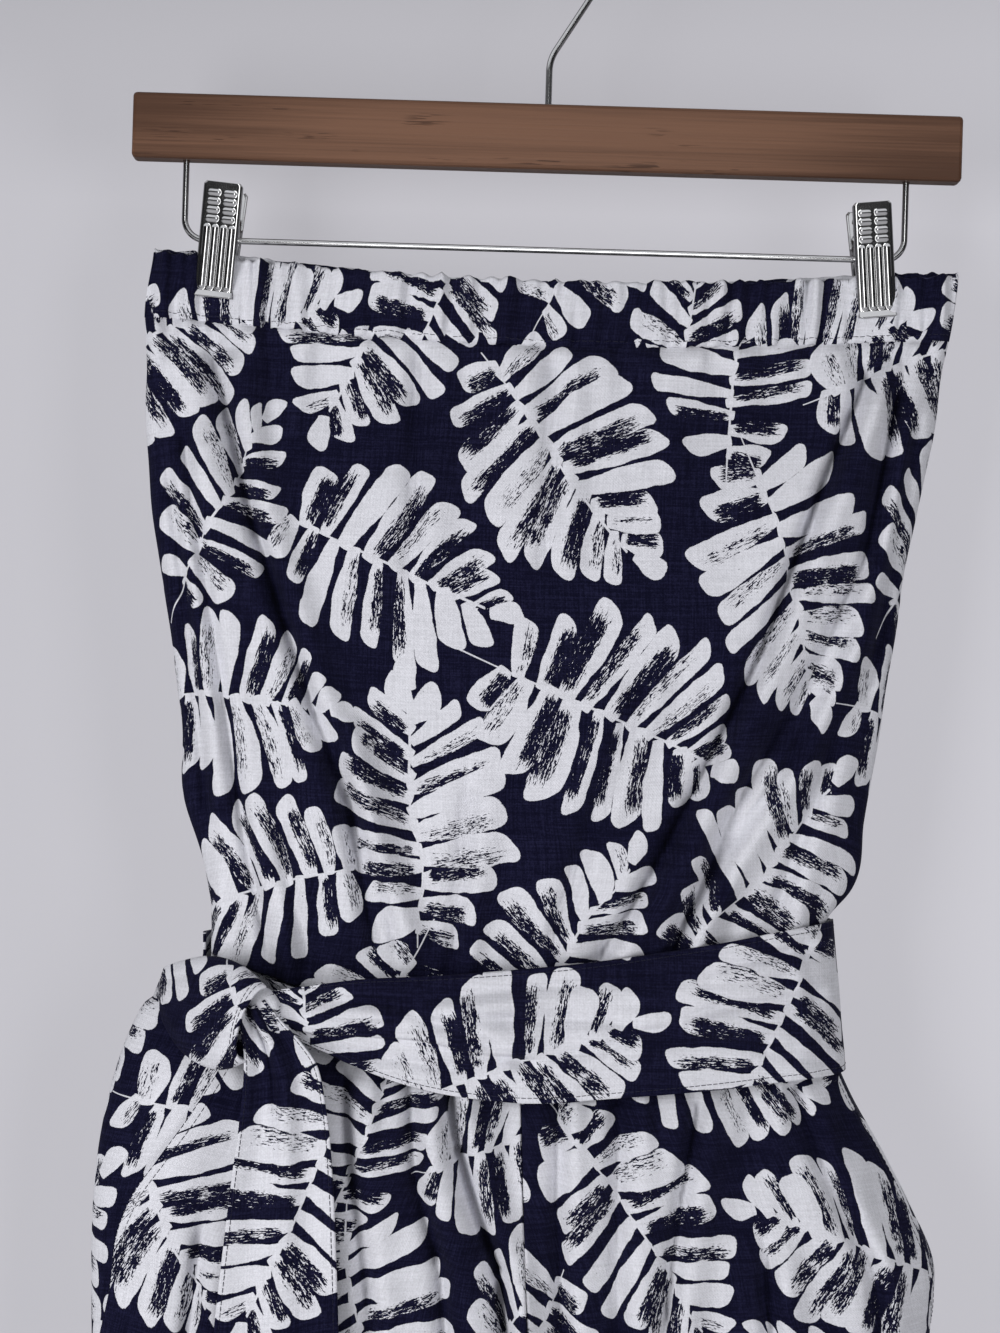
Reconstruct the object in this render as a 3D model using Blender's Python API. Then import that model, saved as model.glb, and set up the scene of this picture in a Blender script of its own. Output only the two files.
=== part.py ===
"""Strapless romper with its own sash, hanging in the two clips of a wooden hanger.

Lengths are in millimetres until a mesh is made, which turns them into metres. +Z is up, +X is to the
right of someone facing the front, and the front faces -Y. The origin is the highest point inside the
bend of the hook, where a rail or a peg carries it.
"""

import math
from collections import namedtuple

import bmesh
import bpy
import numpy as np
from mathutils import Matrix, Vector

MM = 0.001
SEAM_GAP = 0.3

# Hanger
BAR_WIDTH, BAR_DEPTH, BAR_HEIGHT = 355.0, 12.0, 28.0
BAR_TOP = -82.4
BAR_EDGE = 1.6
BORE_DEPTH = 16.0
HOOK_WIRE = 1.4
HOOK_BEND = 22.0
HOOK_END_ANGLE = 205.0
HOOK_STEM, HOOK_ELBOW = 20.0, 5.0
FRAME_WIRE = 1.35
FRAME_HALF_WIDTH = 154.5
FRAME_BEND = 9.0
ROD_HEIGHT = -144.2

# Clips: a jaw is a pressed channel that leans on the rod, wide open above it and shut below it
CLIP_WIDTH, CLIP_SHEET, CLIP_CORNER = 15.8, 0.9, 1.0
CLIP_FLANGE, CLIP_EAR = 3.2, 7.0
CLIP_TOP, CLIP_MOUTH, CLIP_FOOT = 23.0, -5.0, -25.0
CLIP_REACH = 0.6 * CLIP_WIDTH
SPRING_LENGTH, SPRING_WALL, SPRING_SIDES = 9.0, 1.9, 12
Clip = namedtuple("Clip", "side x lean")
CLIPS = (
    Clip("left", -139.0, 5.0),
    Clip("right", 141.0, -6.0),
)
JawStation = namedtuple("JawStation", "height stand_off")
JAW = (
    JawStation(CLIP_TOP, 12.5),
    JawStation(12.0, 9.2),
    JawStation(2.0, 6.6),
    JawStation(-8.0, 5.2),
    JawStation(-21.5, 3.6),
    JawStation(CLIP_FOOT, 5.4),
)
JAW_RINGS = (CLIP_TOP, 16.0, 10.0, 5.0, 0.0, -4.0, -8.0, -13.0, -18.0, -21.5, CLIP_FOOT)

# Cloth
CLOTH = 1.2
CASING = 2.4
SASH = 1.6
CLIP_GRIP = 1.4
ROUNDNESS = 0.72

# Top casing
CASING_TOP = -150.3
CASING_SAG = 8.7
CASING_HEIGHT = 28.0
CASING_SWELL = 10.5
CASING_LOOP, CASING_LOOP_WIDTH = 3.2, 7.0
CASING_NIP_STARTS, CASING_NIP_WIDTH = 5.0, 14.0
FULL_BELOW_CASING = 75.0
SAG_POWER = 1.3

# Levels of the garment: how far it reaches to each side, to the front and to the back
Level = namedtuple("Level", "z left right front back")
BODICE = (
    Level(-140, -166.0, 178.5, 13.0, 11.0),
    Level(-150, -166.9, 177.9, 13.0, 11.0),
    Level(-178, -170.1, 174.6, 14.0, 12.0),
    Level(-188, -169.4, 172.6, 15.0, 12.0),
    Level(-215, -168.3, 169.6, 18.0, 13.0),
    Level(-250, -165.5, 163.3, 21.0, 14.0),
    Level(-300, -157.2, 155.8, 24.0, 15.0),
    Level(-345, -149.6, 150.0, 26.0, 16.0),
    Level(-385, -146.0, 143.8, 27.0, 17.0),
    Level(-415, -136.5, 139.0, 26.0, 17.0),
    Level(-427, -134.2, 129.3, 24.5, 17.0),
    Level(-445, -133.6, 128.6, 23.0, 17.0),
    Level(-480, -132.0, 128.4, 21.0, 17.0),
)
ShortsLevel = namedtuple("ShortsLevel", "z left middle right front back")
SHORTS = (
    ShortsLevel(-440, -146.0, -1.4, 131.2, 26.0, 18.0),
    ShortsLevel(-470, -160.8, -1.0, 132.6, 30.0, 20.0),
    ShortsLevel(-488, -168.8, -0.4, 135.6, 33.5, 23.0),
    ShortsLevel(-500, -172.6, 0.4, 141.0, 36.0, 24.0),
    ShortsLevel(-527, -178.2, 1.8, 157.0, 40.0, 26.0),
    ShortsLevel(-550, -180.4, 3.0, 169.5, 43.0, 28.0),
    ShortsLevel(-572, -180.8, 4.2, 179.4, 45.0, 29.0),
    ShortsLevel(-600, -180.0, 6.0, 178.4, 47.0, 30.0),
    ShortsLevel(-660, -177.5, 6.0, 176.0, 48.0, 30.0),
    ShortsLevel(-745, -177.0, 5.0, 177.0, 46.0, 30.0),
    ShortsLevel(-840, -181.0, 4.0, 181.0, 44.0, 30.0),
)
WAIST_LEFT, WAIST_RIGHT, WAIST_DIP = -450.0, -461.0, 21.5
PUFF_DROP, FULL_BELOW_WAIST = 24.0, 45.0
CROTCH, HEM = -745.0, -840.0
FRONT_RISE_TURNS, BACK_RISE_TURNS = -655.0, -610.0
LEG_CLEARANCE = 1.7
LEG_AXIS = 60.0
BODY_FLATNESS = 40.0

# The slant pocket: how far inside the silhouette the front panel starts, by its share of the way down
PocketStation = namedtuple("PocketStation", "down left right")
POCKET = (
    PocketStation(0.00, 26.0, 2.0),
    PocketStation(0.05, 46.0, 2.0),
    PocketStation(0.10, 44.0, 2.0),
    PocketStation(0.15, 38.0, 2.0),
    PocketStation(0.20, 29.0, 2.0),
    PocketStation(0.25, 19.0, 3.0),
    PocketStation(0.30, 13.0, 3.0),
    PocketStation(0.36, 13.0, 0.0),
)
POCKET_END, POCKET_CLOSES = 0.5, 0.2
POCKET_UNDERLAP = 16.0
POCKET_INSIDE = CLOTH + 3.0 * SEAM_GAP

# The largest folds, each a soft ridge along a straight line on the front
Fold = namedtuple("Fold", "x_top z_top x_end z_end half_width height")
BODICE_FOLDS = (
    Fold(-131.0, -215.0, -100.0, -325.0, 13.0, 3.2),
    Fold(-99.0, -325.0, -58.0, -450.0, 13.0, 3.0),
    Fold(126.0, -200.0, 101.0, -320.0, 11.0, 3.0),
    Fold(101.0, -320.0, 36.0, -450.0, 13.0, 2.6),
    Fold(-51.0, -205.0, -50.0, -290.0, 10.0, 1.6),
    Fold(66.0, -205.0, 62.0, -270.0, 10.0, 1.4),
)
SHORTS_FOLDS = (
    Fold(-22.0, -505.0, 0.0, -640.0, 12.0, -5.0),
    Fold(-52.0, -500.0, -50.0, -640.0, 14.0, 3.0),
    Fold(-96.0, -505.0, -104.0, -700.0, 14.0, 3.2),
    Fold(40.0, -510.0, 44.0, -600.0, 13.0, 2.4),
    Fold(98.0, -510.0, 112.0, -640.0, 15.0, 3.0),
    Fold(-140.0, -640.0, -134.0, -820.0, 16.0, -3.0),
    Fold(66.0, -660.0, 78.0, -830.0, 17.0, -3.0),
)

# Sash: its upper and lower edges, by the place across the front
SashStation = namedtuple("SashStation", "x upper lower")
SASH_FRONT = (
    SashStation(-106.0, -460.0, -475.0),
    SashStation(-94.0, -458.0, -480.0),
    SashStation(-70.0, -455.3, -490.0),
    SashStation(-40.0, -453.0, -499.0),
    SashStation(0.0, -449.0, -503.5),
    SashStation(40.0, -443.8, -500.5),
    SashStation(85.0, -436.2, -496.0),
    SashStation(112.0, -431.0, -493.0),
    SashStation(139.0, -427.5, -491.0),
)
SASH_WIDTH, SASH_BUNCHED = 62.0, 23.0
SASH_BACK_UPPER_LEFT, SASH_BACK_UPPER_RIGHT = -441.0, -427.5
SASH_OVER_CLOTH = 3.2
SASH_SPREAD = 7.0
SASH_FRONT_SLACK, SASH_BACK_DEPTH = 4.5, 27.0
KNOT_CENTRE = (-107.0, -43.5, -470.5)
KNOT_HALF = (7.5, 7.0, 13.0)
KNOT_CREASE = 0.10

# The stretch that comes round the left side and over the knot: its upper and lower edges, and its swell
WrapStation = namedtuple("WrapStation", "share x_up y_up z_up x_low y_low z_low swell")
WRAP = (
    WrapStation(0.00, -137.4, -0.6, -441.0, -151.8, -0.6, -463.5, 0.0),
    WrapStation(0.14, -137.4, -9.0, -445.5, -153.4, -16.0, -470.5, 2.5),
    WrapStation(0.34, -131.0, -24.5, -448.0, -142.5, -27.5, -484.7, 6.0),
    WrapStation(0.60, -120.0, -36.0, -451.5, -128.5, -38.0, -493.0, 9.0),
    WrapStation(0.85, -110.5, -43.5, -455.5, -118.0, -44.0, -491.5, 9.0),
    WrapStation(1.00, -106.0, -48.0, -458.7, -113.5, -48.0, -487.7, 6.0),
)
WRAP_HOLLOW, WRAP_ROUNDNESS = 4.5, 0.9
WRAP_LIFTS = (-0.35, -1.0, 0.0)
WRAP_CORE = (-118.0, 5.0, -468.0)

# The end that hangs from the knot, over a shorter one: how far in from the edges each starts, how far
# behind the front one it lies, and its share of the length
TailStation = namedtuple("TailStation", "z left right stand")
TAIL = (
    TailStation(-484.4, -111.5, -94.5, 45.5),
    TailStation(-500.0, -114.0, -82.5, 47.0),
    TailStation(-525.0, -116.0, -77.0, 50.0),
    TailStation(-566.0, -119.6, -73.2, 53.0),
    TailStation(-600.0, -122.2, -71.0, 55.0),
    TailStation(-660.0, -125.5, -68.5, 56.5),
    TailStation(-722.0, -127.5, -67.5, 57.0),
)
TAIL_PLEAT = 1.6
OVER_TAIL, UNDER_TAIL = (0.0, 0.0, 1.0), (3.0, SASH + 0.8, 0.84)
TAIL_FLATTENS = 0.75

# How many squares each sheet has across and down, and how its rows and columns crowd together
SheetGrid = namedtuple("SheetGrid", "columns rows")
CASING_GRID = SheetGrid(28, 2)
BODICE_FRONT_GRID = SheetGrid(26, 16)
BODICE_BACK_GRID = SheetGrid(18, 10)
LEG_FRONT_COLUMNS, LEG_BACK_COLUMNS, POCKET_COLUMNS, LEG_ROWS = 12, 8, 6, 18
SASH_FRONT_GRID, SASH_BACK_GRID = SheetGrid(18, 3), SheetGrid(14, 4)
WRAP_GRID, TAIL_GRID, UNDER_TAIL_GRID = SheetGrid(10, 8), SheetGrid(8, 10), SheetGrid(8, 8)
SIDE_CROWDING = 0.6
LEG_ROW_POWER = 1.35

FRONT, BACK = -1, 1
LEFT, RIGHT = -1, 1


def ease(share):
    """Runs smoothly from 0 to 1 as its argument does."""
    share = min(max(share, 0.0), 1.0)
    return share * share * (3.0 - 2.0 * share)


def between(start, end, share):
    return start + (end - start) * share


def curve_through(places, values, at):
    """A smooth curve through a table's rows, whose places rise, held flat past its ends."""
    if at <= places[0]:
        return values[0]
    if at >= places[-1]:
        return values[-1]
    slopes = np.gradient(values, places)
    row = int(np.searchsorted(places, at)) - 1
    span = places[row + 1] - places[row]
    t = (at - places[row]) / span
    return float(
        values[row] * (1 + 2 * t) * (1 - t) ** 2
        + slopes[row] * span * t * (1 - t) ** 2
        + values[row + 1] * t * t * (3 - 2 * t)
        + slopes[row + 1] * span * t * t * (t - 1)
    )


def read(table, key, column, at):
    """Reads one column of a table at any value of its key column."""
    rows = sorted(table, key=lambda row: getattr(row, key))
    places = np.array([getattr(row, key) for row in rows])
    values = np.array([getattr(row, column) for row in rows])
    return curve_through(places, values, at)


def across(share):
    """The share of the width reached by a point that has gone this share of a half turn round the body."""
    return 0.5 * (1.0 - math.cos(math.pi * share))


def fold_height(folds, x, z):
    """How far the folds lift the cloth off its plain form at this place."""
    lift = 0.0
    for fold in folds:
        run = Vector((fold.x_end - fold.x_top, fold.z_end - fold.z_top))
        place = Vector((x - fold.x_top, z - fold.z_top))
        along = place.dot(run) / run.length_squared
        aside = (run.x * place.y - run.y * place.x) / run.length
        fade = ease(along / 0.25 + 0.5) * ease((1.0 - along) / 0.25 + 0.5)
        lift += fold.height * fade * math.exp(-((aside / fold.half_width) ** 2))
    return lift


# --- The garment's form -------------------------------------------------------------------------


def waist_line(t):
    """Height of the waist seam at a share of the width, from the left."""
    return between(WAIST_LEFT, WAIST_RIGHT, t) - WAIST_DIP * math.sin(math.pi * t)


def casing_top_line(t):
    return CASING_TOP - CASING_SAG * math.sin(math.pi * t) ** SAG_POWER


def casing_depth(x, left, right):
    """Half the thickness of the casing: a loop at each end, nipped by the clips, slack between them."""
    edge = max(min(x - left, right - x), 0.0)
    loop = CASING_LOOP * math.sqrt(1.0 - (1.0 - min(edge / CASING_LOOP_WIDTH, 1.0)) ** 2)
    nip = ease((edge - CASING_NIP_STARTS) / CASING_NIP_WIDTH)
    inner_left, inner_right = CLIPS[0].x + CLIP_REACH, CLIPS[1].x - CLIP_REACH
    t = (x - inner_left) / (inner_right - inner_left)
    slack = CASING_SWELL * math.sin(math.pi * min(max(t, 0.0), 1.0)) ** SAG_POWER
    return between(loop, CLIP_GRIP, nip) + slack


def torso_point(side, u, z, casing_foot):
    """A point of the casing or the bodice, a share u of the way round its front or back."""
    left, right = read(BODICE, "z", "left", z), read(BODICE, "z", "right", z)
    x = between(left, right, across(u))
    column = "front" if side == FRONT else "back"
    full = read(BODICE, "z", column, z) * math.sin(math.pi * u) ** ROUNDNESS
    nipped = casing_depth(x, left, right)
    depth = between(nipped, full, ease((casing_foot - z) / FULL_BELOW_CASING))
    if side == FRONT:
        depth += fold_height(BODICE_FOLDS, x, z) * math.sin(math.pi * u)
    return Vector((x, side * (0.5 * SEAM_GAP + depth), z))


def casing_point(side):
    def point(u, v):
        top = casing_top_line(across(u))
        z = top - CASING_HEIGHT * v
        return torso_point(side, u, z, top - CASING_HEIGHT)

    return point


def bodice_point(side):
    def point(u, v):
        t = across(u)
        foot = casing_top_line(t) - CASING_HEIGHT
        z = between(foot - SEAM_GAP, waist_line(t), v)
        return torso_point(side, u, z, foot)

    return point


def leg_point(side, half):
    """A point of one leg's front or back: s runs from the side seam to the middle or the inner leg."""
    column = "front" if side == FRONT else "back"
    rise_turns = FRONT_RISE_TURNS if side == FRONT else BACK_RISE_TURNS

    def point(s, v):
        share = 0.5 * (1.0 - math.cos(0.5 * math.pi * s))
        t = share if half == LEFT else 1.0 - share
        waist = waist_line(t)
        z = between(waist - SEAM_GAP, HEM, v)
        puff = ease((waist - z) / PUFF_DROP)
        outline = "left" if half == LEFT else "right"
        outer = between(read(BODICE, "z", outline, z), read(SHORTS, "z", outline, z), puff)
        full = ease((waist - z) / FULL_BELOW_WAIST)
        depth = between(read(BODICE, "z", column, z), read(SHORTS, "z", column, z), full)
        turned = ease((rise_turns - z) / (rise_turns - CROTCH))
        turn = 0.5 * math.pi * (1.0 + turned)
        clear = 0.5 * SEAM_GAP + LEG_CLEARANCE * turned
        inner = read(SHORTS, "z", "middle", z) + half * clear
        reach = (1.0 - math.cos(turn * s)) / (1.0 - math.cos(turn))
        x = between(outer, inner, reach)
        swell = max(math.sin(turn * s), 0.0)
        y = depth * swell**ROUNDNESS
        if side == FRONT:
            y += fold_height(SHORTS_FOLDS, x, z) * swell
        return Vector((x, side * (0.5 * SEAM_GAP + y), z))

    return point


def pocket_share(half, v, extra=0.0):
    """The value of s at which the front panel starts, so that the slant pocket stays open beside it."""
    inset = read(POCKET, "down", "left" if half == LEFT else "right", v) + extra
    inset *= 1.0 - ease((v - POCKET_END) / POCKET_CLOSES + 1.0)
    plain = leg_point(FRONT, half)
    width = abs(plain(1.0, v).x - plain(0.0, v).x)
    turned = ease((FRONT_RISE_TURNS - plain(0.0, v).z) / (FRONT_RISE_TURNS - CROTCH))
    turn = 0.5 * math.pi * (1.0 + turned)
    cosine = 1.0 - inset / width * (1.0 - math.cos(turn))
    return math.acos(cosine) / turn


def leg_front_point(half):
    plain = leg_point(FRONT, half)

    def point(s, v):
        return plain(between(pocket_share(half, v), 1.0, s), v)

    return point


def pocket_point(half):
    plain = leg_point(FRONT, half)

    def point(s, v):
        return plain(s * pocket_share(half, v, POCKET_UNDERLAP), v)

    return point


# --- Making meshes ------------------------------------------------------------------------------


def material(name, colour, roughness, metallic=0.0):
    made = bpy.data.materials.new(name)
    made.use_nodes = True
    shader = made.node_tree.nodes["Principled BSDF"]
    shader.inputs["Base Color"].default_value = (*colour, 1.0)
    shader.inputs["Roughness"].default_value = roughness
    shader.inputs["Metallic"].default_value = metallic
    return made


def object_from(name, bm, finish, smooth=True):
    """Turns a bmesh in millimetres into an object in metres."""
    bmesh.ops.recalc_face_normals(bm, faces=bm.faces[:])
    bmesh.ops.scale(bm, vec=(MM, MM, MM), verts=bm.verts[:])
    mesh = bpy.data.meshes.new(name)
    bm.to_mesh(mesh)
    bm.free()
    mesh.materials.append(finish)
    if smooth:
        mesh.shade_smooth()
        mesh.set_sharp_from_angle(angle=math.radians(40))
    made = bpy.data.objects.new(name, mesh)
    bpy.context.scene.collection.objects.link(made)
    return made


def facing(point, u, v, outward):
    """The sheet's normal at a place, pointing the same way as the outward vector."""
    step = 1e-3
    along = point(min(u + step, 1.0), v) - point(max(u - step, 0.0), v)
    down = point(u, min(v + step, 1.0)) - point(u, max(v - step, 0.0))
    normal = along.cross(down).normalized()
    return -normal if normal.dot(outward) < 0 else normal


def evenly(count):
    return [k / count for k in range(count + 1)]


def crowded_at_sides(count):
    """Shares that crowd together near both ends, where a sheet that goes round the body turns tightly."""
    return [t - SIDE_CROWDING * math.sin(2 * math.pi * t) / (2 * math.pi) for t in evenly(count)]


def wall(name, point, columns, rows, thickness, finish, outward, offset=0.0, level_edges=True):
    """A closed wall of cloth on both sides of the sheet that point(u, v) describes, at these shares."""
    bm = bmesh.new()
    skins = ([], [])
    for v in rows:
        for u in columns:
            middle = point(u, v)
            normal = facing(point, u, v, outward(middle))
            if level_edges and v in (rows[0], rows[-1]):
                normal.z = 0.0
                normal.normalize()
            for skin, sign in zip(skins, (1, -1)):
                skin.append(bm.verts.new(middle + normal * (offset + sign * 0.5 * thickness)))
    wide, deep = len(columns), len(rows)
    for skin in skins:
        for row in range(deep - 1):
            for column in range(wide - 1):
                corner = row * wide + column
                bm.faces.new([skin[corner + k] for k in (0, 1, wide + 1, wide)])
    border = list(range(wide))
    border += [row * wide + wide - 1 for row in range(1, deep)]
    border += [(deep - 1) * wide + column for column in range(wide - 2, -1, -1)]
    border += [row * wide for row in range(deep - 2, 0, -1)]
    for here, there in zip(border, border[1:] + border[:1]):
        bm.faces.new((skins[0][here], skins[0][there], skins[1][there], skins[1][here]))
    return object_from(name, bm, finish)


def away_from(axis_x):
    """Outward for a sheet that bends round an upright axis, on a body far wider than it is deep."""

    def outward(place):
        return Vector((place.x - axis_x, place.y * BODY_FLATNESS, 0.0))

    return outward


def path_normal_frames(path):
    """Directions across a path, carried along it without twisting."""
    steps = [(b - a).normalized() for a, b in zip(path, path[1:])]
    tangents = [steps[0]] + [(a + b).normalized() for a, b in zip(steps, steps[1:])] + [steps[-1]]
    aside = tangents[0].orthogonal().normalized()
    frames = []
    for tangent in tangents:
        aside = (aside - tangent * aside.dot(tangent)).normalized()
        frames.append((aside, tangent.cross(aside)))
    return frames


def ring(bm, centre, aside, across_it, radius, sides):
    """Points of a circle round a centre, in the plane of two directions."""
    turns = [2 * math.pi * k / sides for k in range(sides)]
    return [bm.verts.new(centre + radius * (aside * math.cos(a) + across_it * math.sin(a))) for a in turns]


def bridge(bm, rings):
    """Joins each ring to the next one with squares."""
    for ring_here, ring_there in zip(rings, rings[1:]):
        for k in range(len(ring_here)):
            bm.faces.new((ring_here[k], ring_here[k - 1], ring_there[k - 1], ring_there[k]))


def wire(name, path, radius, sides, finish, rounded_end=False):
    """A round wire along a path, with flat ends or a rounded far end."""
    bm = bmesh.new()
    frames = path_normal_frames(path)
    rings = [ring(bm, place, *frame, radius, sides) for place, frame in zip(path, frames)]
    if rounded_end:
        ahead = (path[-1] - path[-2]).normalized()
        for lift in (math.radians(30), math.radians(60)):
            centre = path[-1] + ahead * radius * math.sin(lift)
            rings.append(ring(bm, centre, *frames[-1], radius * math.cos(lift), sides))
    bridge(bm, rings)
    bm.faces.new(rings[0])
    bm.faces.new(rings[-1][::-1])
    return object_from(name, bm, finish)


def arc(centre, radius, start, end, steps):
    """Points on an upright arc that faces the front, with its angles in degrees from +X."""
    angles = [math.radians(between(start, end, k / steps)) for k in range(steps + 1)]
    x, z = centre
    return [Vector((x + radius * math.cos(a), 0.0, z + radius * math.sin(a))) for a in angles]


# --- Hanger -------------------------------------------------------------------------------------


def drill(blank, name, x, top, bottom, radius):
    """Cuts an upright bore into the bar."""
    cutter_mesh = bpy.data.meshes.new(name)
    bm = bmesh.new()
    bmesh.ops.create_cone(
        bm,
        cap_ends=True,
        segments=12,
        radius1=radius * MM,
        radius2=radius * MM,
        depth=(top - bottom) * MM,
    )
    bm.to_mesh(cutter_mesh)
    bm.free()
    cutter = bpy.data.objects.new(name, cutter_mesh)
    cutter.location = (x * MM, 0.0, 0.5 * (top + bottom) * MM)
    cutter.hide_render = True
    cutter.display_type = "WIRE"
    bpy.context.scene.collection.objects.link(cutter)
    cut = blank.modifiers.new(name, "BOOLEAN")
    cut.object = cutter
    cut.operation = "DIFFERENCE"


def make_bar(wood):
    bm = bmesh.new()
    bmesh.ops.create_cube(bm, size=1.0)
    bmesh.ops.scale(bm, vec=(BAR_WIDTH, BAR_DEPTH, BAR_HEIGHT), verts=bm.verts[:])
    bmesh.ops.bevel(bm, geom=bm.edges[:], offset=BAR_EDGE, segments=2, profile=0.5, affect="EDGES")
    bmesh.ops.translate(bm, vec=(0, 0, BAR_TOP - 0.5 * BAR_HEIGHT), verts=bm.verts[:])
    bar = object_from("hanger_bar", bm, wood)
    foot = BAR_TOP - BAR_HEIGHT
    drill(bar, "hook_bore", 0.0, BAR_TOP + 2.0, BAR_TOP - BORE_DEPTH, HOOK_WIRE + SEAM_GAP)
    for side in (LEFT, RIGHT):
        x = side * FRAME_HALF_WIDTH
        drill(bar, f"wire_bore_{side}", x, foot + BORE_DEPTH, foot - 2.0, FRAME_WIRE + SEAM_GAP)
    return bar


def make_hook(steel):
    centre_height = -HOOK_BEND + HOOK_WIRE
    foot = BAR_TOP - BORE_DEPTH + SEAM_GAP
    stem_top = BAR_TOP + HOOK_STEM
    lean = math.degrees(math.asin(HOOK_BEND / (centre_height - stem_top)))
    stem = [Vector((0.0, 0.0, between(foot, stem_top - HOOK_ELBOW, k / 3))) for k in range(4)]
    away = Vector((math.sin(math.radians(lean)), 0.0, math.cos(math.radians(lean))))
    corner = Vector((0.0, 0.0, stem_top))
    past = corner + away * HOOK_ELBOW
    turns = (0.25, 0.5, 0.75)
    bend = [between(between(stem[-1], corner, t), between(corner, past, t), t) for t in turns]
    curl = arc((0.0, centre_height), HOOK_BEND, -lean, HOOK_END_ANGLE, 26)
    straight = [between(past, curl[0], t) for t in (0.0, 0.5)]
    return wire("hanger_hook", stem + bend + straight + curl, HOOK_WIRE, 10, steel, rounded_end=True)


def make_frame_wire(steel):
    """The wire that leaves the bar, turns inwards and carries both clips on its level stretch."""
    top = BAR_TOP - BAR_HEIGHT + BORE_DEPTH - SEAM_GAP
    turn = ROD_HEIGHT + FRAME_BEND
    inner = FRAME_HALF_WIDTH - FRAME_BEND
    down = [Vector((-FRAME_HALF_WIDTH, 0.0, between(top, turn, k / 3))) for k in range(3)]
    left_bend = arc((-inner, turn), FRAME_BEND, 180.0, 270.0, 6)
    level = [Vector((between(-inner, inner, k / 8), 0.0, ROD_HEIGHT)) for k in range(1, 8)]
    right_half = [Vector((-place.x, 0.0, place.z)) for place in reversed(down + left_bend)]
    return wire("hanger_wire", down + left_bend + level + right_half, FRAME_WIRE, 8, steel)


def jaw_section(height, side):
    """One cross section of a jaw: a channel whose ears reach the rod, and whose foot lies on the casing."""
    half = 0.5 * CLIP_WIDTH
    stand_off = read(JAW, "height", "stand_off", height)
    ear = between(stand_off - CLIP_FLANGE, FRAME_WIRE + SEAM_GAP, ease(1.0 - abs(height) / CLIP_EAR))
    floor = stand_off - CLIP_SHEET
    if height < CLIP_MOUTH:
        casing_face = CLIP_GRIP + 0.5 * SEAM_GAP + 0.5 * CASING + SEAM_GAP
        ear, floor = max(ear, casing_face), max(floor, casing_face)
        stand_off = max(stand_off, casing_face + CLIP_SHEET)
    shoulder = max(stand_off - CLIP_CORNER, ear)
    inner = half - CLIP_SHEET
    outline = (
        (-half, ear),
        (-half, shoulder),
        (-half + CLIP_CORNER, stand_off),
        (half - CLIP_CORNER, stand_off),
        (half, shoulder),
        (half, ear),
        (inner, ear),
        (inner, max(floor, ear)),
        (-inner, max(floor, ear)),
        (-inner, ear),
    )
    return [Vector((x, side * y, height)) for x, y in outline]


def make_jaw(name, clip, side, steel):
    """A pressed channel from its thumb end to its lip, leaning sideways as the clip does."""
    bm = bmesh.new()
    rings = [[bm.verts.new(place) for place in jaw_section(height, side)] for height in JAW_RINGS]
    bridge(bm, rings)
    for end in (rings[0], rings[-1]):
        for corners in ((0, 1, 8, 9), (1, 2, 3, 4, 7, 8), (4, 5, 6, 7)):
            bm.faces.new([end[k] for k in corners])
    lean = Matrix.Rotation(math.radians(clip.lean), 4, "Y")
    bmesh.ops.transform(bm, matrix=Matrix.Translation((clip.x, 0.0, ROD_HEIGHT)) @ lean, verts=bm.verts[:])
    return object_from(name, bm, steel)


def make_spring(clip, steel):
    """The closed coils round the rod between the jaws' ears, as one sleeve."""
    bm = bmesh.new()
    inner = FRAME_WIRE + SEAM_GAP
    outer = inner + SPRING_WALL
    start, end = clip.x - 0.5 * SPRING_LENGTH, clip.x + 0.5 * SPRING_LENGTH
    forward_way, upward = Vector((0.0, 1.0, 0.0)), Vector((0.0, 0.0, 1.0))
    rings = [
        ring(bm, Vector((x, 0.0, ROD_HEIGHT)), forward_way, upward, radius, SPRING_SIDES)
        for x, radius in ((start, outer), (end, outer), (end, inner), (start, inner))
    ]
    bridge(bm, rings + rings[:1])
    return object_from(f"clip_{clip.side}_spring", bm, steel)


# --- Sash ---------------------------------------------------------------------------------------


def sash_front_point(u, v):
    """The stretch across the front, from the knot to the fold at the right side, where it spreads."""
    end = SASH_FRONT[-1].x
    x = between(SASH_FRONT[0].x, end, math.sin(0.5 * math.pi * u))
    upper, lower = read(SASH_FRONT, "x", "upper", x), read(SASH_FRONT, "x", "lower", x)
    z = between(upper, lower, v)
    rounding = (1.0 - max(x / end, 0.0) ** 4) ** 0.5
    depth = (read(SHORTS, "z", "front", z) + SASH_FRONT_SLACK) * rounding
    return Vector((x - SASH_SPREAD * (1.0 - v) * ease(1.5 * u - 0.5), -(0.5 * SEAM_GAP + depth), z))


def shorts_left(z):
    """How far to the left the shorts puff out just under the waist seam."""
    puff = ease((WAIST_LEFT - z) / PUFF_DROP)
    return between(read(BODICE, "z", "left", z), read(SHORTS, "z", "left", z), puff)


def sash_back_point(u, v):
    """The stretch round the back, from the right side to the left, where it is bunched."""
    upper = between(SASH_BACK_UPPER_RIGHT, SASH_BACK_UPPER_LEFT, ease(u))
    z = upper - between(SASH_WIDTH, SASH_BUNCHED, ease(1.6 * u - 0.6)) * v
    right = SASH_FRONT[-1].x - SASH_SPREAD * (1.0 - v)
    left = shorts_left(z) - SASH_OVER_CLOTH
    depth = SASH_BACK_DEPTH * math.sin(math.pi * u) ** ROUNDNESS
    return Vector((between(right, left, across(u)), 0.5 * SEAM_GAP + depth, z))


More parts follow.
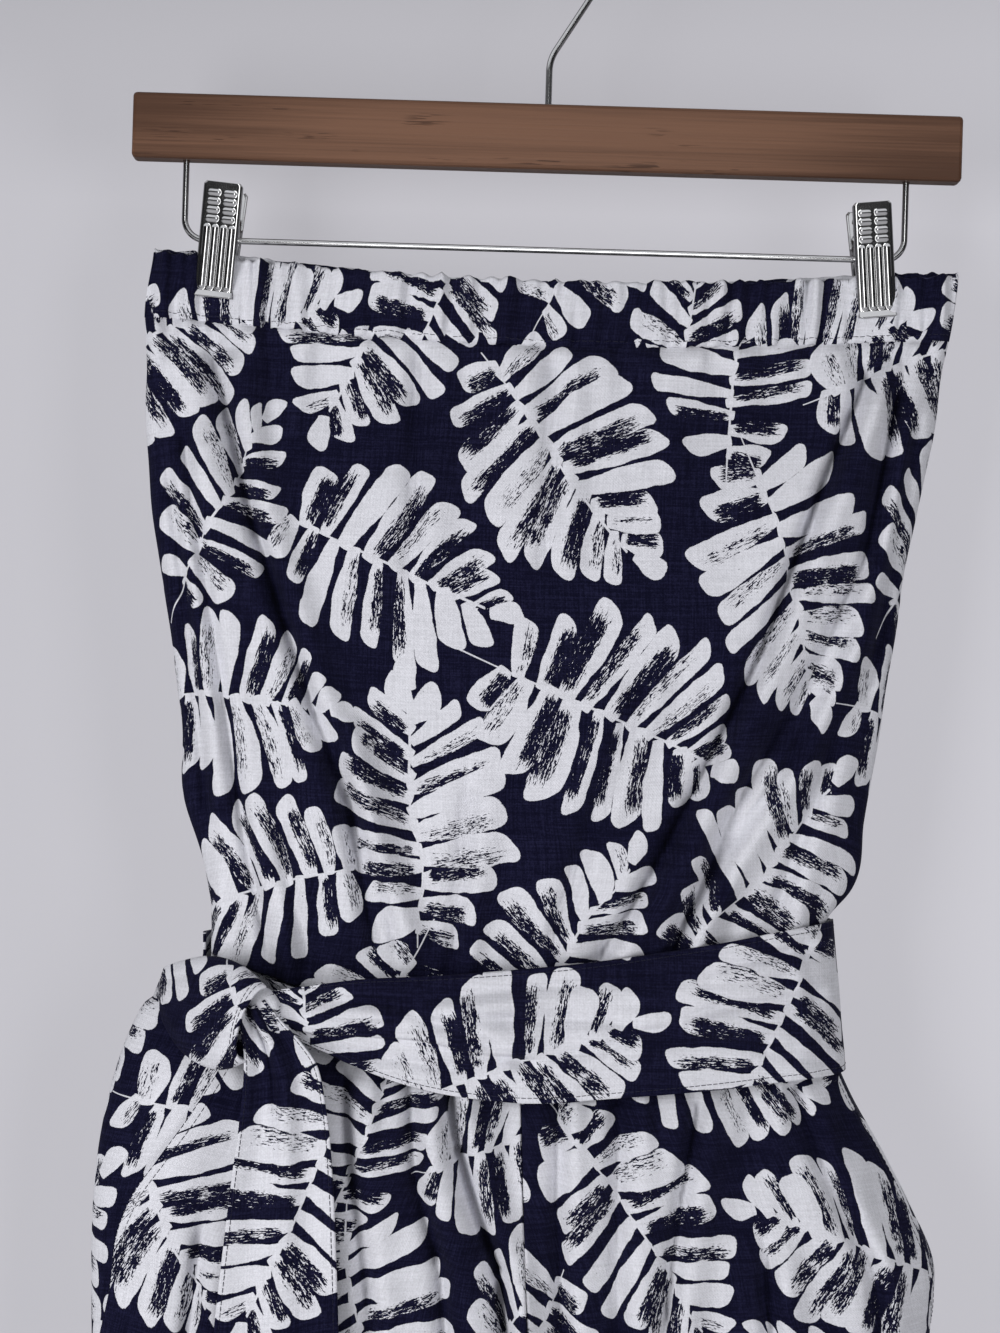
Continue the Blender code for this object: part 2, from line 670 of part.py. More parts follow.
def wrap_point(u, v):
    """The stretch from the left side over the knot, swollen between its rolled edges."""
    up = Vector([read(WRAP, "share", column, u) for column in ("x_up", "y_up", "z_up")])
    low = Vector([read(WRAP, "share", column, u) for column in ("x_low", "y_low", "z_low")])
    arch = math.sin(math.pi * v)
    lift = Vector(WRAP_LIFTS) * read(WRAP, "share", "swell", u) * arch**WRAP_ROUNDNESS
    return between(up, low, across(v)) + lift + Vector((-WRAP_HOLLOW * arch * u**3, 0.0, 0.0))


def tail_point(inset, behind, share):
    """A hanging end, pleated lengthwise where the knot squeezes it and flat at its foot."""

    def point(u, v):
        z = between(TAIL[0].z, between(TAIL[0].z, TAIL[-1].z, share), v)
        left, right = read(TAIL, "z", "left", z), read(TAIL, "z", "right", z)
        x = between(left + inset, right - inset, u)
        wave = math.cos(4.0 * math.pi * (x - left) / (right - left))
        pleat = TAIL_PLEAT * wave * (1.0 - TAIL_FLATTENS * share * v)
        return Vector((x, behind - read(TAIL, "z", "stand", z) - pleat, z))

    return point


def make_knot(finish):
    """The squeezed core of the knot, a rounded lump of folded cloth."""
    bm = bmesh.new()
    bmesh.ops.create_icosphere(bm, subdivisions=2, radius=1.0)
    for vert in bm.verts:
        place = vert.co.copy()
        crease = 1.0 - KNOT_CREASE * math.exp(-((place.z - 0.35 * place.x - 0.1) ** 2) / 0.03)
        vert.co = Vector(KNOT_CENTRE) + Vector([place[k] * KNOT_HALF[k] * crease for k in range(3)])
    return object_from("sash_knot", bm, finish)


def forward(_place):
    return Vector((0.0, -1.0, 0.0))


def away_from_core(place):
    return place - Vector(WRAP_CORE)


# --- The whole ----------------------------------------------------------------------------------


def clear_scene():
    for old in list(bpy.context.scene.objects):
        bpy.data.objects.remove(old, do_unlink=True)


def make_hanger():
    wood = material("oiled_wood", (0.17, 0.062, 0.026), 0.45)
    steel = material("bright_steel", (0.62, 0.61, 0.60), 0.22, 1.0)
    make_bar(wood)
    make_hook(steel)
    make_frame_wire(steel)
    for clip in CLIPS:
        make_jaw(f"clip_{clip.side}_front", clip, FRONT, steel)
        make_jaw(f"clip_{clip.side}_back", clip, BACK, steel)
        make_spring(clip, steel)


def make_torso(linen):
    grids = {FRONT: BODICE_FRONT_GRID, BACK: BODICE_BACK_GRID}
    body_axis = away_from(0.0)
    for side, word in ((FRONT, "front"), (BACK, "back")):
        columns = crowded_at_sides(CASING_GRID.columns)
        rows = evenly(CASING_GRID.rows)
        wall(f"casing_{word}", casing_point(side), columns, rows, CASING, linen, body_axis)
        columns, rows = crowded_at_sides(grids[side].columns), evenly(grids[side].rows)
        wall(f"bodice_{word}", bodice_point(side), columns, rows, CLOTH, linen, body_axis)


def make_shorts(linen):
    rows = [share**LEG_ROW_POWER for share in evenly(LEG_ROWS)]
    pocket_rows = [v for v in rows if v < POCKET_END]
    for half, word in ((LEFT, "left"), (RIGHT, "right")):
        axis = away_from(half * LEG_AXIS)
        columns = crowded_at_sides(LEG_FRONT_COLUMNS)
        wall(f"leg_front_{word}", leg_front_point(half), columns, rows, CLOTH, linen, axis)
        columns = crowded_at_sides(LEG_BACK_COLUMNS)
        wall(f"leg_back_{word}", leg_point(BACK, half), columns, rows, CLOTH, linen, axis)
        pocket = pocket_point(half), evenly(POCKET_COLUMNS), pocket_rows
        wall(f"pocket_{word}", *pocket, CLOTH, linen, axis, offset=-POCKET_INSIDE)


def make_sash(linen):
    body_axis = away_from(0.0)
    belts = (
        ("sash_front", sash_front_point, SASH_FRONT_GRID),
        ("sash_back", sash_back_point, SASH_BACK_GRID),
    )
    for name, point, grid in belts:
        wall(name, point, crowded_at_sides(grid.columns), evenly(grid.rows), SASH, linen, body_axis)
    sheets = (
        ("sash_wrap", wrap_point, WRAP_GRID, away_from_core),
        ("sash_tail", tail_point(*OVER_TAIL), TAIL_GRID, forward),
        ("sash_tail_under", tail_point(*UNDER_TAIL), UNDER_TAIL_GRID, forward),
    )
    for name, point, grid, outward in sheets:
        wall(name, point, evenly(grid.columns), evenly(grid.rows), SASH, linen, outward, level_edges=False)
    make_knot(linen)


def make_garment():
    linen = material("printed_linen", (0.30, 0.30, 0.33), 0.85)
    make_torso(linen)
    make_shorts(linen)
    make_sash(linen)


clear_scene()
make_hanger()
make_garment()
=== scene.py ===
# %% [markdown]
# # A strapless romper hanging in the clips of a wooden hanger
#
# The romper is cut from one printed linen: a casing with an elastic in it, a bloused top, wide shorts with
# slant pockets, and a sash of the same cloth that is knotted at one side. The hanger is a wooden bar with a
# wire hook and two pressed clips that slide on a level wire.
#
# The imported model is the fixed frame. It says where every part is, and each piece made here takes the place
# of the part that it stands for. Lengths are written in millimetres, as a cutter would write them, and become
# metres when a mesh is made. Meshes are made from plain lists of points and faces: modelling operators would
# do as well, but they depend on what is selected, and a list gives the same mesh on every run.

import math
from collections import namedtuple

import bpy
import numpy as np
from mathutils import Matrix, Vector


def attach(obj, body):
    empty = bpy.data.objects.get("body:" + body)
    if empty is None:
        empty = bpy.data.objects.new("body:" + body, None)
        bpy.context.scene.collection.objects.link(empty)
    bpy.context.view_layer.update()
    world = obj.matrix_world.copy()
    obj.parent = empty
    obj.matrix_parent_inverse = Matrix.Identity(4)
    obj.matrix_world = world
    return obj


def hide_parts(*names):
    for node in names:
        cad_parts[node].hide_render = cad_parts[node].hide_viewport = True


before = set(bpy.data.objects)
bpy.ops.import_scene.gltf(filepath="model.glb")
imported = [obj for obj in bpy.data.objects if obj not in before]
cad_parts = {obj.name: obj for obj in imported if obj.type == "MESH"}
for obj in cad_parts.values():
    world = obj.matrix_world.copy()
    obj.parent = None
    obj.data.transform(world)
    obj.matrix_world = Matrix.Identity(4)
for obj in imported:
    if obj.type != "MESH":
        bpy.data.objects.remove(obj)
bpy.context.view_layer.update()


# %% From points to an object
MM = 0.001


def shown(name, points, faces, *finishes):
    """An object in the scene, made from points in millimetres and faces given as point numbers."""
    mesh = bpy.data.meshes.new(name)
    mesh.from_pydata((np.reshape(points, (-1, 3)) * MM).tolist(), [], faces)
    for surface in finishes:
        mesh.materials.append(surface)
    mesh.shade_smooth()
    made = bpy.data.objects.new(name, mesh)
    bpy.context.scene.collection.objects.link(made)
    return made


# %% [markdown]
# ## Recipes written as sums
#
# A shader recipe is mostly arithmetic, and arithmetic is easier to read as a formula than as a list of
# links. A Reading stands for a value that a node gives, and a sum with it adds the Math node that works it
# out. An effect that several materials share is a node group with named inputs and outputs.

# %% A value inside a node tree
class Reading:
    """A value that a node gives. Arithmetic with it adds Math nodes to the same tree."""

    def __init__(self, tree, socket):
        self.tree, self.socket = tree, socket

    def math(self, operation, *others):
        node = self.tree.nodes.new("ShaderNodeMath")
        node.operation = operation
        for slot, value in zip(node.inputs, (self, *others)):
            feed(slot, value)
        return Reading(self.tree, node.outputs[0])

    def __add__(self, other):
        return self.math("ADD", other)

    def __sub__(self, other):
        return self.math("SUBTRACT", other)

    def __rsub__(self, other):
        return self.math("MULTIPLY_ADD", -1.0, other)

    def __mul__(self, other):
        return self.math("MULTIPLY", other)

    def __truediv__(self, other):
        return self.math("DIVIDE", other)

    __radd__ = __add__

    def most(self, other):
        return self.math("MAXIMUM", other)

    def least(self, other):
        return self.math("MINIMUM", other)

    def rise(self, low, high):
        """Goes smoothly from 0 at low to 1 at high."""
        node = self.tree.nodes.new("ShaderNodeMapRange")
        node.interpolation_type = "SMOOTHSTEP"
        for slot, value in zip(node.inputs, (self, low, high)):
            feed(slot, value)
        return Reading(self.tree, node.outputs[0])


def feed(socket, value):
    """Gives a socket a number, a colour or another socket's value."""
    if isinstance(value, Reading):
        value = value.socket
    if isinstance(value, bpy.types.NodeSocket):
        socket.id_data.links.new(value, socket)
    else:
        socket.default_value = value


# %% Vectors, noise and colours in a node tree
def parts_of(tree, vector):
    """The three numbers of a vector."""
    node = tree.nodes.new("ShaderNodeSeparateXYZ")
    feed(node.inputs[0], vector)
    return [Reading(tree, output) for output in node.outputs]


def joined(tree, *numbers):
    """A vector made of three numbers."""
    node = tree.nodes.new("ShaderNodeCombineXYZ")
    for slot, value in zip(node.inputs, numbers):
        feed(slot, value)
    return node.outputs[0]


def noise(tree, vector, scale=1.0, detail=2.0, roughness=0.5):
    """A noise value round a half, at a vector."""
    node = tree.nodes.new("ShaderNodeTexNoise")
    feed(node.inputs["Vector"], vector)
    node.inputs["Scale"].default_value = scale
    node.inputs["Detail"].default_value = detail
    node.inputs["Roughness"].default_value = roughness
    return Reading(tree, node.outputs["Fac"])


MIX_FIRST, MIX_SECOND, MIX_RESULT = 6, 7, 2  # the Mix node's sockets for colours, by number


def mixed(tree, share, first, second):
    """A colour between two others."""
    node = tree.nodes.new("ShaderNodeMix")
    node.data_type = "RGBA"
    feed(node.inputs["Factor"], share)
    feed(node.inputs[MIX_FIRST], first)
    feed(node.inputs[MIX_SECOND], second)
    return node.outputs[MIX_RESULT]


# %% Groups, materials and relief
def group(name, inputs, outputs):
    """An empty node group. inputs are (name, kind, default) and outputs are (name, kind)."""
    made = bpy.data.node_groups.new(name, "ShaderNodeTree")
    for label, kind, default in inputs:
        socket = made.interface.new_socket(label, in_out="INPUT", socket_type=f"NodeSocket{kind}")
        if default is not None:
            socket.default_value = default
    for label, kind in outputs:
        made.interface.new_socket(label, in_out="OUTPUT", socket_type=f"NodeSocket{kind}")
    entry, leave = made.nodes.new("NodeGroupInput"), made.nodes.new("NodeGroupOutput")
    return made, entry.outputs, leave.inputs


def use(tree, recipe, **values):
    """Places a group in a tree. Its inputs are given by name, with _ for a space."""
    node = tree.nodes.new("ShaderNodeGroup")
    node.node_tree = recipe
    for label, value in values.items():
        feed(node.inputs[label.replace("_", " ")], value)
    return {output.name: Reading(tree, output) for output in node.outputs}


def finish(name, metallic=0.0, roughness=0.5, **settings):
    """A material with its Principled shader, and the plain numbers that are the same all over it."""
    made = bpy.data.materials.new(name)
    made.use_nodes = True
    shader = made.node_tree.nodes["Principled BSDF"]
    shader.inputs["Metallic"].default_value = metallic
    shader.inputs["Roughness"].default_value = roughness
    for label, value in settings.items():
        shader.inputs[label.replace("_", " ")].default_value = value
    return made, made.node_tree, shader.inputs


def relief(tree, height, distance, strength):
    """A normal bent by a height, in metres per unit of it."""
    node = tree.nodes.new("ShaderNodeBump")
    node.inputs["Distance"].default_value = distance
    node.inputs["Strength"].default_value = strength
    feed(node.inputs["Height"], height)
    return node.outputs["Normal"]


# %% [markdown]
# ## Camera, wall and lamps
#
# The camera stands a good metre in front of the hanger, level with the middle of the top, and looks straight
# on, tilted by a little under two degrees because it is held by hand. A long lens would flatten the piece and
# a short one would bend it, so the lens is a moderate one, as for a portrait.
#
# The garment hangs close to a pale wall. Strong light on a white wall would be the plain way to make it pale,
# but that light would wash out the cloth as well. So the paleness is a glow that only the camera and polish
# see, with painted light that makes it brighter towards the right and painted shade that makes it darker
# towards the top, and diffuse light passes through the wall. It is part of the stage and shows only from the
# front, so that it never stands between the camera and the back of the garment.
#
# Cloth and metal want different lamps. Two broad lamps light the cloth from both sides, and a third lights
# the back. Polished steel shows what stands around it, so it is given a dim room, a bright ceiling and one
# tall card to mirror: the metal stays dark, and the clips' round ribs catch the card as thin bright lines.

# %% Camera
CAMERA_PLACE = Vector((-13.5, -1106.0, -323.4)) * MM
CAMERA_ROLL = 1.72
SENSOR_LONG_SIDE, FOCAL_SHARE = 36.0, 2576.0 / 1333.0

camera = bpy.data.objects.new("camera", bpy.data.cameras.new("camera"))
camera.data.sensor_fit = "AUTO"
camera.data.sensor_width = SENSOR_LONG_SIDE
camera.data.lens = SENSOR_LONG_SIDE * FOCAL_SHARE
camera.data.clip_start, camera.data.clip_end = 0.05, 50.0
camera.location = CAMERA_PLACE
camera.rotation_euler = Matrix.Rotation(math.radians(90), 3, "X").to_euler()
camera.rotation_euler.rotate_axis("Z", math.radians(CAMERA_ROLL))
bpy.context.scene.collection.objects.link(camera)
bpy.context.scene.camera = camera
print("lens", round(camera.data.lens, 2), "mm")


# %% What the stage shows, and to whom
def looked_at(tree):
    """One for what the camera, polish or glass looks at, and nought for light that falls on other things."""
    path = tree.nodes.new("ShaderNodeLightPath").outputs
    return Reading(tree, path["Is Camera Ray"]).most(path["Is Glossy Ray"]).most(path["Is Transmission Ray"])


def pale_paint(name, colour, glow):
    """A matt paint whose paleness is a glow, which lights nothing else."""
    made, tree, shader = finish(name, roughness=0.9, Specular_IOR_Level=0.2)
    shader["Base Color"].default_value = (*colour, 1.0)
    shader["Emission Color"].default_value = (*glow, 1.0)
    return made, tree, shader


def stage_sheet(name, corners, paint):
    """A flat four-cornered backdrop."""
    shown(name, corners, [(0, 1, 2, 3)], paint)
    print(f"{name}: {paint.name}")


# %% Wall
WALL_DISTANCE, WALL_TOP, WALL_HALF_WIDTH, FLOOR_HEIGHT, FLOOR_REACH = 46.0, 1500.0, 2500.0, -1350.0, 4000.0
PAINTED_LIGHT_REACH, PAINTED_LIGHT_PER_METRE = 0.4, 0.40
PAINTED_SHADE_FROM, PAINTED_SHADE_OVER, PAINTED_SHADE_PER_METRE = -0.12, 0.12, 2.2
GLOW_LOST_IN_METAL = 0.75

wall_paint, tree, shader = pale_paint("wall_paint", (0.17, 0.168, 0.18), (0.412, 0.407, 0.438))
aside, _, height = parts_of(tree, tree.nodes.new("ShaderNodeTexCoord").outputs["Object"])
# Painted light and shade on the wall's glow: brighter towards the right, darker towards the top.
painted_light_rightwards = aside.most(-PAINTED_LIGHT_REACH).least(PAINTED_LIGHT_REACH) * PAINTED_LIGHT_PER_METRE
painted_shade_at_top = (height - PAINTED_SHADE_FROM).most(0.0).least(PAINTED_SHADE_OVER) * PAINTED_SHADE_PER_METRE
in_metal = Reading(tree, tree.nodes.new("ShaderNodeLightPath").outputs["Is Glossy Ray"]) * -GLOW_LOST_IN_METAL
feed(shader["Emission Strength"], (painted_light_rightwards + 1.0 - painted_shade_at_top) * (in_metal + 1.0))
facing_away = tree.nodes.new("ShaderNodeNewGeometry").outputs["Backfacing"]
nothing, choice = tree.nodes.new("ShaderNodeBsdfTransparent"), tree.nodes.new("ShaderNodeMixShader")
painted = tree.nodes["Principled BSDF"].outputs[0]
seen = (looked_at(tree) - facing_away).most(0.0)
for slot, value in zip(choice.inputs, (seen, nothing.outputs[0], painted)):
    feed(slot, value)
feed(tree.nodes["Material Output"].inputs["Surface"], choice.outputs[0])
stage_sheet(
    "wall",
    [(-WALL_HALF_WIDTH, WALL_DISTANCE, FLOOR_HEIGHT), (WALL_HALF_WIDTH, WALL_DISTANCE, FLOOR_HEIGHT)]
    + [(WALL_HALF_WIDTH, WALL_DISTANCE, WALL_TOP), (-WALL_HALF_WIDTH, WALL_DISTANCE, WALL_TOP)],
    wall_paint,
)

# %% Floor
SQUARE = ((-1, -1), (1, -1), (1, 1), (-1, 1))
floor_paint, tree, shader = pale_paint("floor_paint", (0.30, 0.298, 0.31), (0.40, 0.40, 0.415))
feed(shader["Emission Strength"], looked_at(tree))
corners = [(x * FLOOR_REACH, y * FLOOR_REACH, FLOOR_HEIGHT) for x, y in SQUARE]
stage_sheet("floor", corners, floor_paint)

# %% Lamps
Lamp = namedtuple("Lamp", "name place aim width height power lights", defaults=("all",))
LAMPS = (
    Lamp("side_lamp", (-1.0, -1.2, -0.48), (0.0, 0.0, -0.5), 0.6, 1.2, 20.5, "cloth"),
    Lamp("window_lamp", (1.1, -1.3, -0.45), (0.0, 0.0, -0.5), 0.5, 1.2, 11.4, "cloth"),
    Lamp("metal_card", (0.03, -1.7, -0.35), (0.03, 0.0, -0.35), 0.50, 1.1, 9.0, "metal"),
    Lamp("back_lamp", (0.5, 1.9, 0.3), (0.0, 0.0, -0.5), 1.4, 1.4, 34.0),
)


def hang_lamp(lamp):
    """A soft rectangular lamp that faces its aim."""
    data = bpy.data.lights.new(lamp.name, "AREA")
    data.shape = "RECTANGLE"
    data.size, data.size_y, data.energy = lamp.width, lamp.height, lamp.power
    made = bpy.data.objects.new(lamp.name, data)
    made.location = lamp.place
    made.rotation_euler = (Vector(lamp.aim) - Vector(lamp.place)).to_track_quat("-Z", "Y").to_euler()
    made.visible_diffuse, made.visible_glossy = lamp.lights != "metal", lamp.lights != "cloth"
    bpy.context.scene.collection.objects.link(made)


for lamp in LAMPS:
    hang_lamp(lamp)
print(len(LAMPS), "lamps")

# %% The room that the camera and the metal see
WORLD_COLOUR, WORLD_STRENGTH, ROOM_BEHIND = (0.86, 0.87, 0.90), 0.20, 0.50
ROOM_IN_METAL, CEILING_IN_METAL, CEILING_FROM, CEILING_TO = 0.04, 1.2, 0.22, 0.34

world = bpy.data.worlds.new("studio")
world.use_nodes = True
tree = world.node_tree
sky = tree.nodes["Background"].inputs
sky["Color"].default_value = (*WORLD_COLOUR, 1.0)
_, _, upward = parts_of(tree, tree.nodes.new("ShaderNodeTexCoord").outputs["Generated"])
path = tree.nodes.new("ShaderNodeLightPath")
glossy = Reading(tree, path.outputs["Is Glossy Ray"])
in_metal = glossy * (upward.rise(CEILING_FROM, CEILING_TO) * CEILING_IN_METAL + ROOM_IN_METAL)
behind = Reading(tree, path.outputs["Is Camera Ray"]).most(path.outputs["Is Transmission Ray"]) * ROOM_BEHIND
feed(sky["Strength"], (1.0 - glossy) * WORLD_STRENGTH + in_metal + behind)
bpy.context.scene.world = world
bpy.context.scene.view_settings.view_transform = "Standard"
print(world.name, "and", bpy.context.scene.view_settings.view_transform)


# %% [markdown]
# ## The printed leaves
#
# The cloth is dark navy with off-white leaves that look painted with a flat brush: every leaflet is one fat
# stroke with a round end, and where the brush ran dry the ground shows through in fine streaks. A thin stem
# runs through each leaf and out past its base.
#
# A print is fixed to the cloth and not to the room, so each cut piece keeps its own place on the flat cloth
# as a UV map in metres, and the leaves are laid out there, in a repeat, like on the roll. A drawing wrapped
# on the cloth would blur close up, and a shader that tried every stroke of the repeat would be slow. So the
# script looks up the few strokes that reach each small face of a piece, and stores where the face lies on
# them. The shader then only has to paint these, with a noise that runs along the brush.

# %% The repeat of the print
Leaf = namedtuple("Leaf", "across up turn length pairs")
REPEAT_WIDE, REPEAT_HIGH = 357.0, 326.0
LEAVES = (
    Leaf(1, 29, 337, 119, 10),
    Leaf(179, 34, 356, 101, 9),
    Leaf(80, 85, 295, 117, 10),
    Leaf(256, 93, 338, 103, 9),
    Leaf(169, 123, 57, 91, 8),
    Leaf(329, 139, 311, 113, 10),
    Leaf(137, 194, 21, 111, 10),
    Leaf(42, 194, 90, 93, 8),
    Leaf(238, 200, 243, 109, 10),
    Leaf(339, 256, 60, 107, 9),
    Leaf(176, 276, 196, 99, 9),
    Leaf(88, 293, 47, 115, 10),
    Leaf(264, 321, 92, 111, 10),
)
Stroke = namedtuple("Stroke", "across up turn length half_width dryness")
STEM_HALF_WIDTH = 0.55
LEAFLET_REACH = ((0.0, 0.40), (0.14, 0.72), (0.34, 1.0), (0.62, 0.92), (0.82, 0.62), (1.0, 0.36))
LEAFLET_TURN = ((0.0, 106.0), (0.2, 86.0), (0.55, 70.0), (0.85, 54.0), (1.0, 42.0))
LONGEST_LEAFLET, LEAFLET_WIDTHS, FATTEST = 0.42, (0.041, 0.049, 0.057, 0.066), 0.42
DRYNESSES, BARE_STEM, LEAFLETS_UP_TO, TIP_AT = (0.1, 0.6, 0.85, 1.0), (8.0, 24.0), 0.86, 0.93


def heading(turn):
    """The direction of a turn in degrees."""
    return np.array([math.cos(math.radians(turn)), math.sin(math.radians(turn))])


def strokes_of(leaf, brush):
    """The brush strokes of one leaf: its stem, the leaflets on both sides of it, and the one at its tip."""
    ahead = heading(leaf.turn)
    base = np.array([leaf.across, leaf.up]) - 0.5 * leaf.length * ahead
    bare = brush.uniform(*BARE_STEM)
    start, stem = base - bare * ahead, bare + 0.9 * leaf.length
    strokes = [Stroke(*start, leaf.turn + brush.uniform(-1, 1), stem, STEM_HALF_WIDTH, 0.0)]
    for side in (-1, 1):
        for k in range(leaf.pairs):
            share = (k + 0.25 + 0.25 * side + brush.uniform(-0.12, 0.12)) / (leaf.pairs - 0.5)
            share = min(max(share, 0.0), 1.0)
            reach = np.interp(share, *zip(*LEAFLET_REACH)) * brush.uniform(0.86, 1.08)
            reach *= LONGEST_LEAFLET * leaf.length
            half = leaf.length * brush.choice(LEAFLET_WIDTHS) * (1.10 - 0.3 * share)
            turn = leaf.turn + side * (np.interp(share, *zip(*LEAFLET_TURN)) + brush.uniform(-5, 5))
            root = base + LEAFLETS_UP_TO * share * leaf.length * ahead
            root = root + brush.uniform(-1.6, 0.7) * heading(turn)
            dry = brush.choice(DRYNESSES) * brush.choice([-1, 1])
            strokes.append(Stroke(*root, turn, reach, min(half, FATTEST * reach), dry))
    tip, turn = base + TIP_AT * leaf.length * ahead, leaf.turn + brush.uniform(-25, 25)
    strokes.append(Stroke(*tip, turn, 0.13 * leaf.length, 0.045 * leaf.length, 0.1))
    return strokes


brush = np.random.default_rng(41)
REPEAT = [stroke for leaf in LEAVES for stroke in strokes_of(leaf, brush)]
print(len(LEAVES), "leaves and", len(REPEAT), "brush strokes in a repeat")


# %% Which strokes reach each face
STROKES_PER_FACE, FACES_AT_ONCE, LONGEST_REACH = 4, 4096, 75.0
NO_STROKE = (1.0, -9.0, 0.0)


def strokes_near(low, high):
    """Every stroke of the endless print that may reach a box on the cloth, as rows of numbers with a seed."""
    low, high = low - LONGEST_REACH, high + LONGEST_REACH
    rows = []
    for i in range(int(low[0] // REPEAT_WIDE), int(high[0] // REPEAT_WIDE) + 1):
        for j in range(int(low[1] // REPEAT_HIGH), int(high[1] // REPEAT_HIGH) + 1):
            for seed, stroke in enumerate(REPEAT):
                moved = stroke.across + i * REPEAT_WIDE, stroke.up + j * REPEAT_HIGH
                rows.append((*moved, *stroke[2:], seed))
    rows = np.array(rows)
    return rows[((rows[:, :2] > low) & (rows[:, :2] < high)).all(axis=1)]


def lay_print(mesh, corners_flat, faces_of_corners, centres, radius):
    """Stores on a mesh, for each face, the strokes that reach it and each corner's place on them."""
    rows = strokes_near(centres.min(axis=0), centres.max(axis=0))
    turn = np.radians(rows[:, 2])
    ahead = np.stack([np.cos(turn), np.sin(turn)], axis=1)
    chosen = np.empty((len(centres), STROKES_PER_FACE), int)
    reaches = np.empty((len(centres), STROKES_PER_FACE))
    for start in range(0, len(centres), FACES_AT_ONCE):
        part = slice(start, start + FACES_AT_ONCE)
        away = centres[part, None] - rows[None, :, :2]
        along = (away * ahead).sum(axis=2)
        aside = away[..., 1] * ahead[:, 0] - away[..., 0] * ahead[:, 1]
        beyond = np.maximum(np.maximum(along - rows[:, 3] + rows[:, 4], -along), 0.0)
        gap = np.hypot(beyond, aside) - rows[:, 4]
        nearest = np.argpartition(gap, STROKES_PER_FACE, axis=1)[:, :STROKES_PER_FACE]
        chosen[part] = nearest
        reaches[part] = np.take_along_axis(gap, nearest, axis=1)
    for k in range(STROKES_PER_FACE):
        picked = chosen[:, k]
        per_corner = picked[faces_of_corners]
        away = corners_flat - rows[per_corner, :2]
        along = (away * ahead[per_corner]).sum(axis=1)
        aside = away[:, 1] * ahead[per_corner, 0] - away[:, 0] * ahead[per_corner, 1]
        places = np.stack([along, aside, rows[per_corner, 6]], axis=1)
        sizes = rows[picked][:, 3:6].copy()
        sizes[reaches[:, k] > radius] = NO_STROKE
        for name, domain, values in ((f"place_{k}", "CORNER", places), (f"stroke_{k}", "FACE", sizes)):
            stored = mesh.attributes.new(name, "FLOAT_VECTOR", domain)
            stored.data.foreach_set("vector", values.astype(np.float32).ravel())


# %% One stroke of the brush
SQUARENESS, SOFT_EDGE, HOLE_EDGE = 2.7, 0.14, 0.014
BLUNT_ROOT, ROOT_WIDTH, OUTLINE_WAVER, OUTLINE_FRAY = 3.5, 0.48, 0.22, 0.06

brush_stroke, given, result = group(
    "brush_stroke",
    [("Place", "Vector", None), ("Stroke", "Vector", None), ("Wobble", "Float", 0.0), ("Fray", "Float", 0.0)],
    [("Paint", "Float")],
)
along, aside, seed = parts_of(brush_stroke, given["Place"])
length, half, dryness = parts_of(brush_stroke, given["Stroke"])
wobble, fray = Reading(brush_stroke, given["Wobble"]), Reading(brush_stroke, given["Fray"])
share = along / length
slant = (seed * 12.9).math("SINE") * 0.55
swell = half * (share.rise(-0.12, 0.6) * (1.0 - ROOT_WIDTH) + ROOT_WIDTH)
beyond = (along + aside * slant - (length - half)).most(along * -BLUNT_ROOT).most(0.0)
powers = beyond.math("POWER", SQUARENESS) + aside.math("ABSOLUTE").math("POWER", SQUARENESS)
waver = wobble * (half * OUTLINE_WAVER).least(1.1) + fray * (half * OUTLINE_FRAY).least(0.22)
inside = (powers.math("POWER", 1 / SQUARENESS) - swell + waver).rise(SOFT_EDGE, -SOFT_EDGE)
side = (aside / half) * dryness.math("SIGN")
dry_zone = side.rise(-0.65, 0.15) * side.rise(1.5, 0.9) * share.rise(-0.02, 0.16) * share.rise(1.06, 0.7)
on_brush = joined(brush_stroke, along * 0.2, aside * 1.5, seed * 3.7)
streaks = noise(brush_stroke, on_brush, detail=3.0, roughness=0.65)
specks = noise(brush_stroke, joined(brush_stroke, along * 0.7, aside * 2.2, seed * 5.3), detail=1.0)
bristles = streaks * 0.62 + specks * 0.38
thirst = dry_zone * dryness.math("ABSOLUTE") * (0.34 + wobble * 0.10) + 0.27
hole = (bristles - thirst).rise(HOLE_EDGE, -HOLE_EDGE)
feed(result["Paint"], inside * (1.0 - hole))
print(len(brush_stroke.nodes), "nodes paint one stroke")


# %% The whole print
leaf_print, given, result = group(
    "leaf_print",
    [("Cloth", "Vector", None), ("Wander", "Float", 1.0)],
    [("Paint", "Float")],
)
wander = Reading(leaf_print, given["Wander"])
wobble = (noise(leaf_print, given["Cloth"], scale=120.0, detail=1.0) - 0.5) * wander * 2.0
fray = (noise(leaf_print, given["Cloth"], scale=1100.0, detail=1.0) - 0.5) * wander * 2.0
paint = None
for k in range(STROKES_PER_FACE):
    place, size = (leaf_print.nodes.new("ShaderNodeAttribute") for _ in range(2))
    place.attribute_name, size.attribute_name = f"place_{k}", f"stroke_{k}"
    stored = {"Place": place.outputs["Vector"], "Stroke": size.outputs["Vector"]}
    stroke = use(leaf_print, brush_stroke, Wobble=wobble, Fray=fray, **stored)["Paint"]
    paint = stroke if paint is None else paint.most(stroke)
feed(result["Paint"], paint)
print(len(leaf_print.nodes), "nodes lay the strokes over one another")


# %% [markdown]
# ## The weave
#
# Linen yarn is uneven: thick and thin places run along single threads, both ways of the cloth. The threads
# could be modelled, but there are over a thousand in a metre and what the eye sees of them is their
# unevenness. So two noises, one stretched along the warp and one along the weft, give those slubs, and two
# fine waves give the threads themselves, which only show close up. The weave is a group with its own inputs,
# because both sides of the cloth use it.

# %% Weave
SLUB_STRETCH, SLUB_SHADE, BROAD_SHADE, GRAIN_SHADE = 0.04, 0.24, 0.12, 0.34

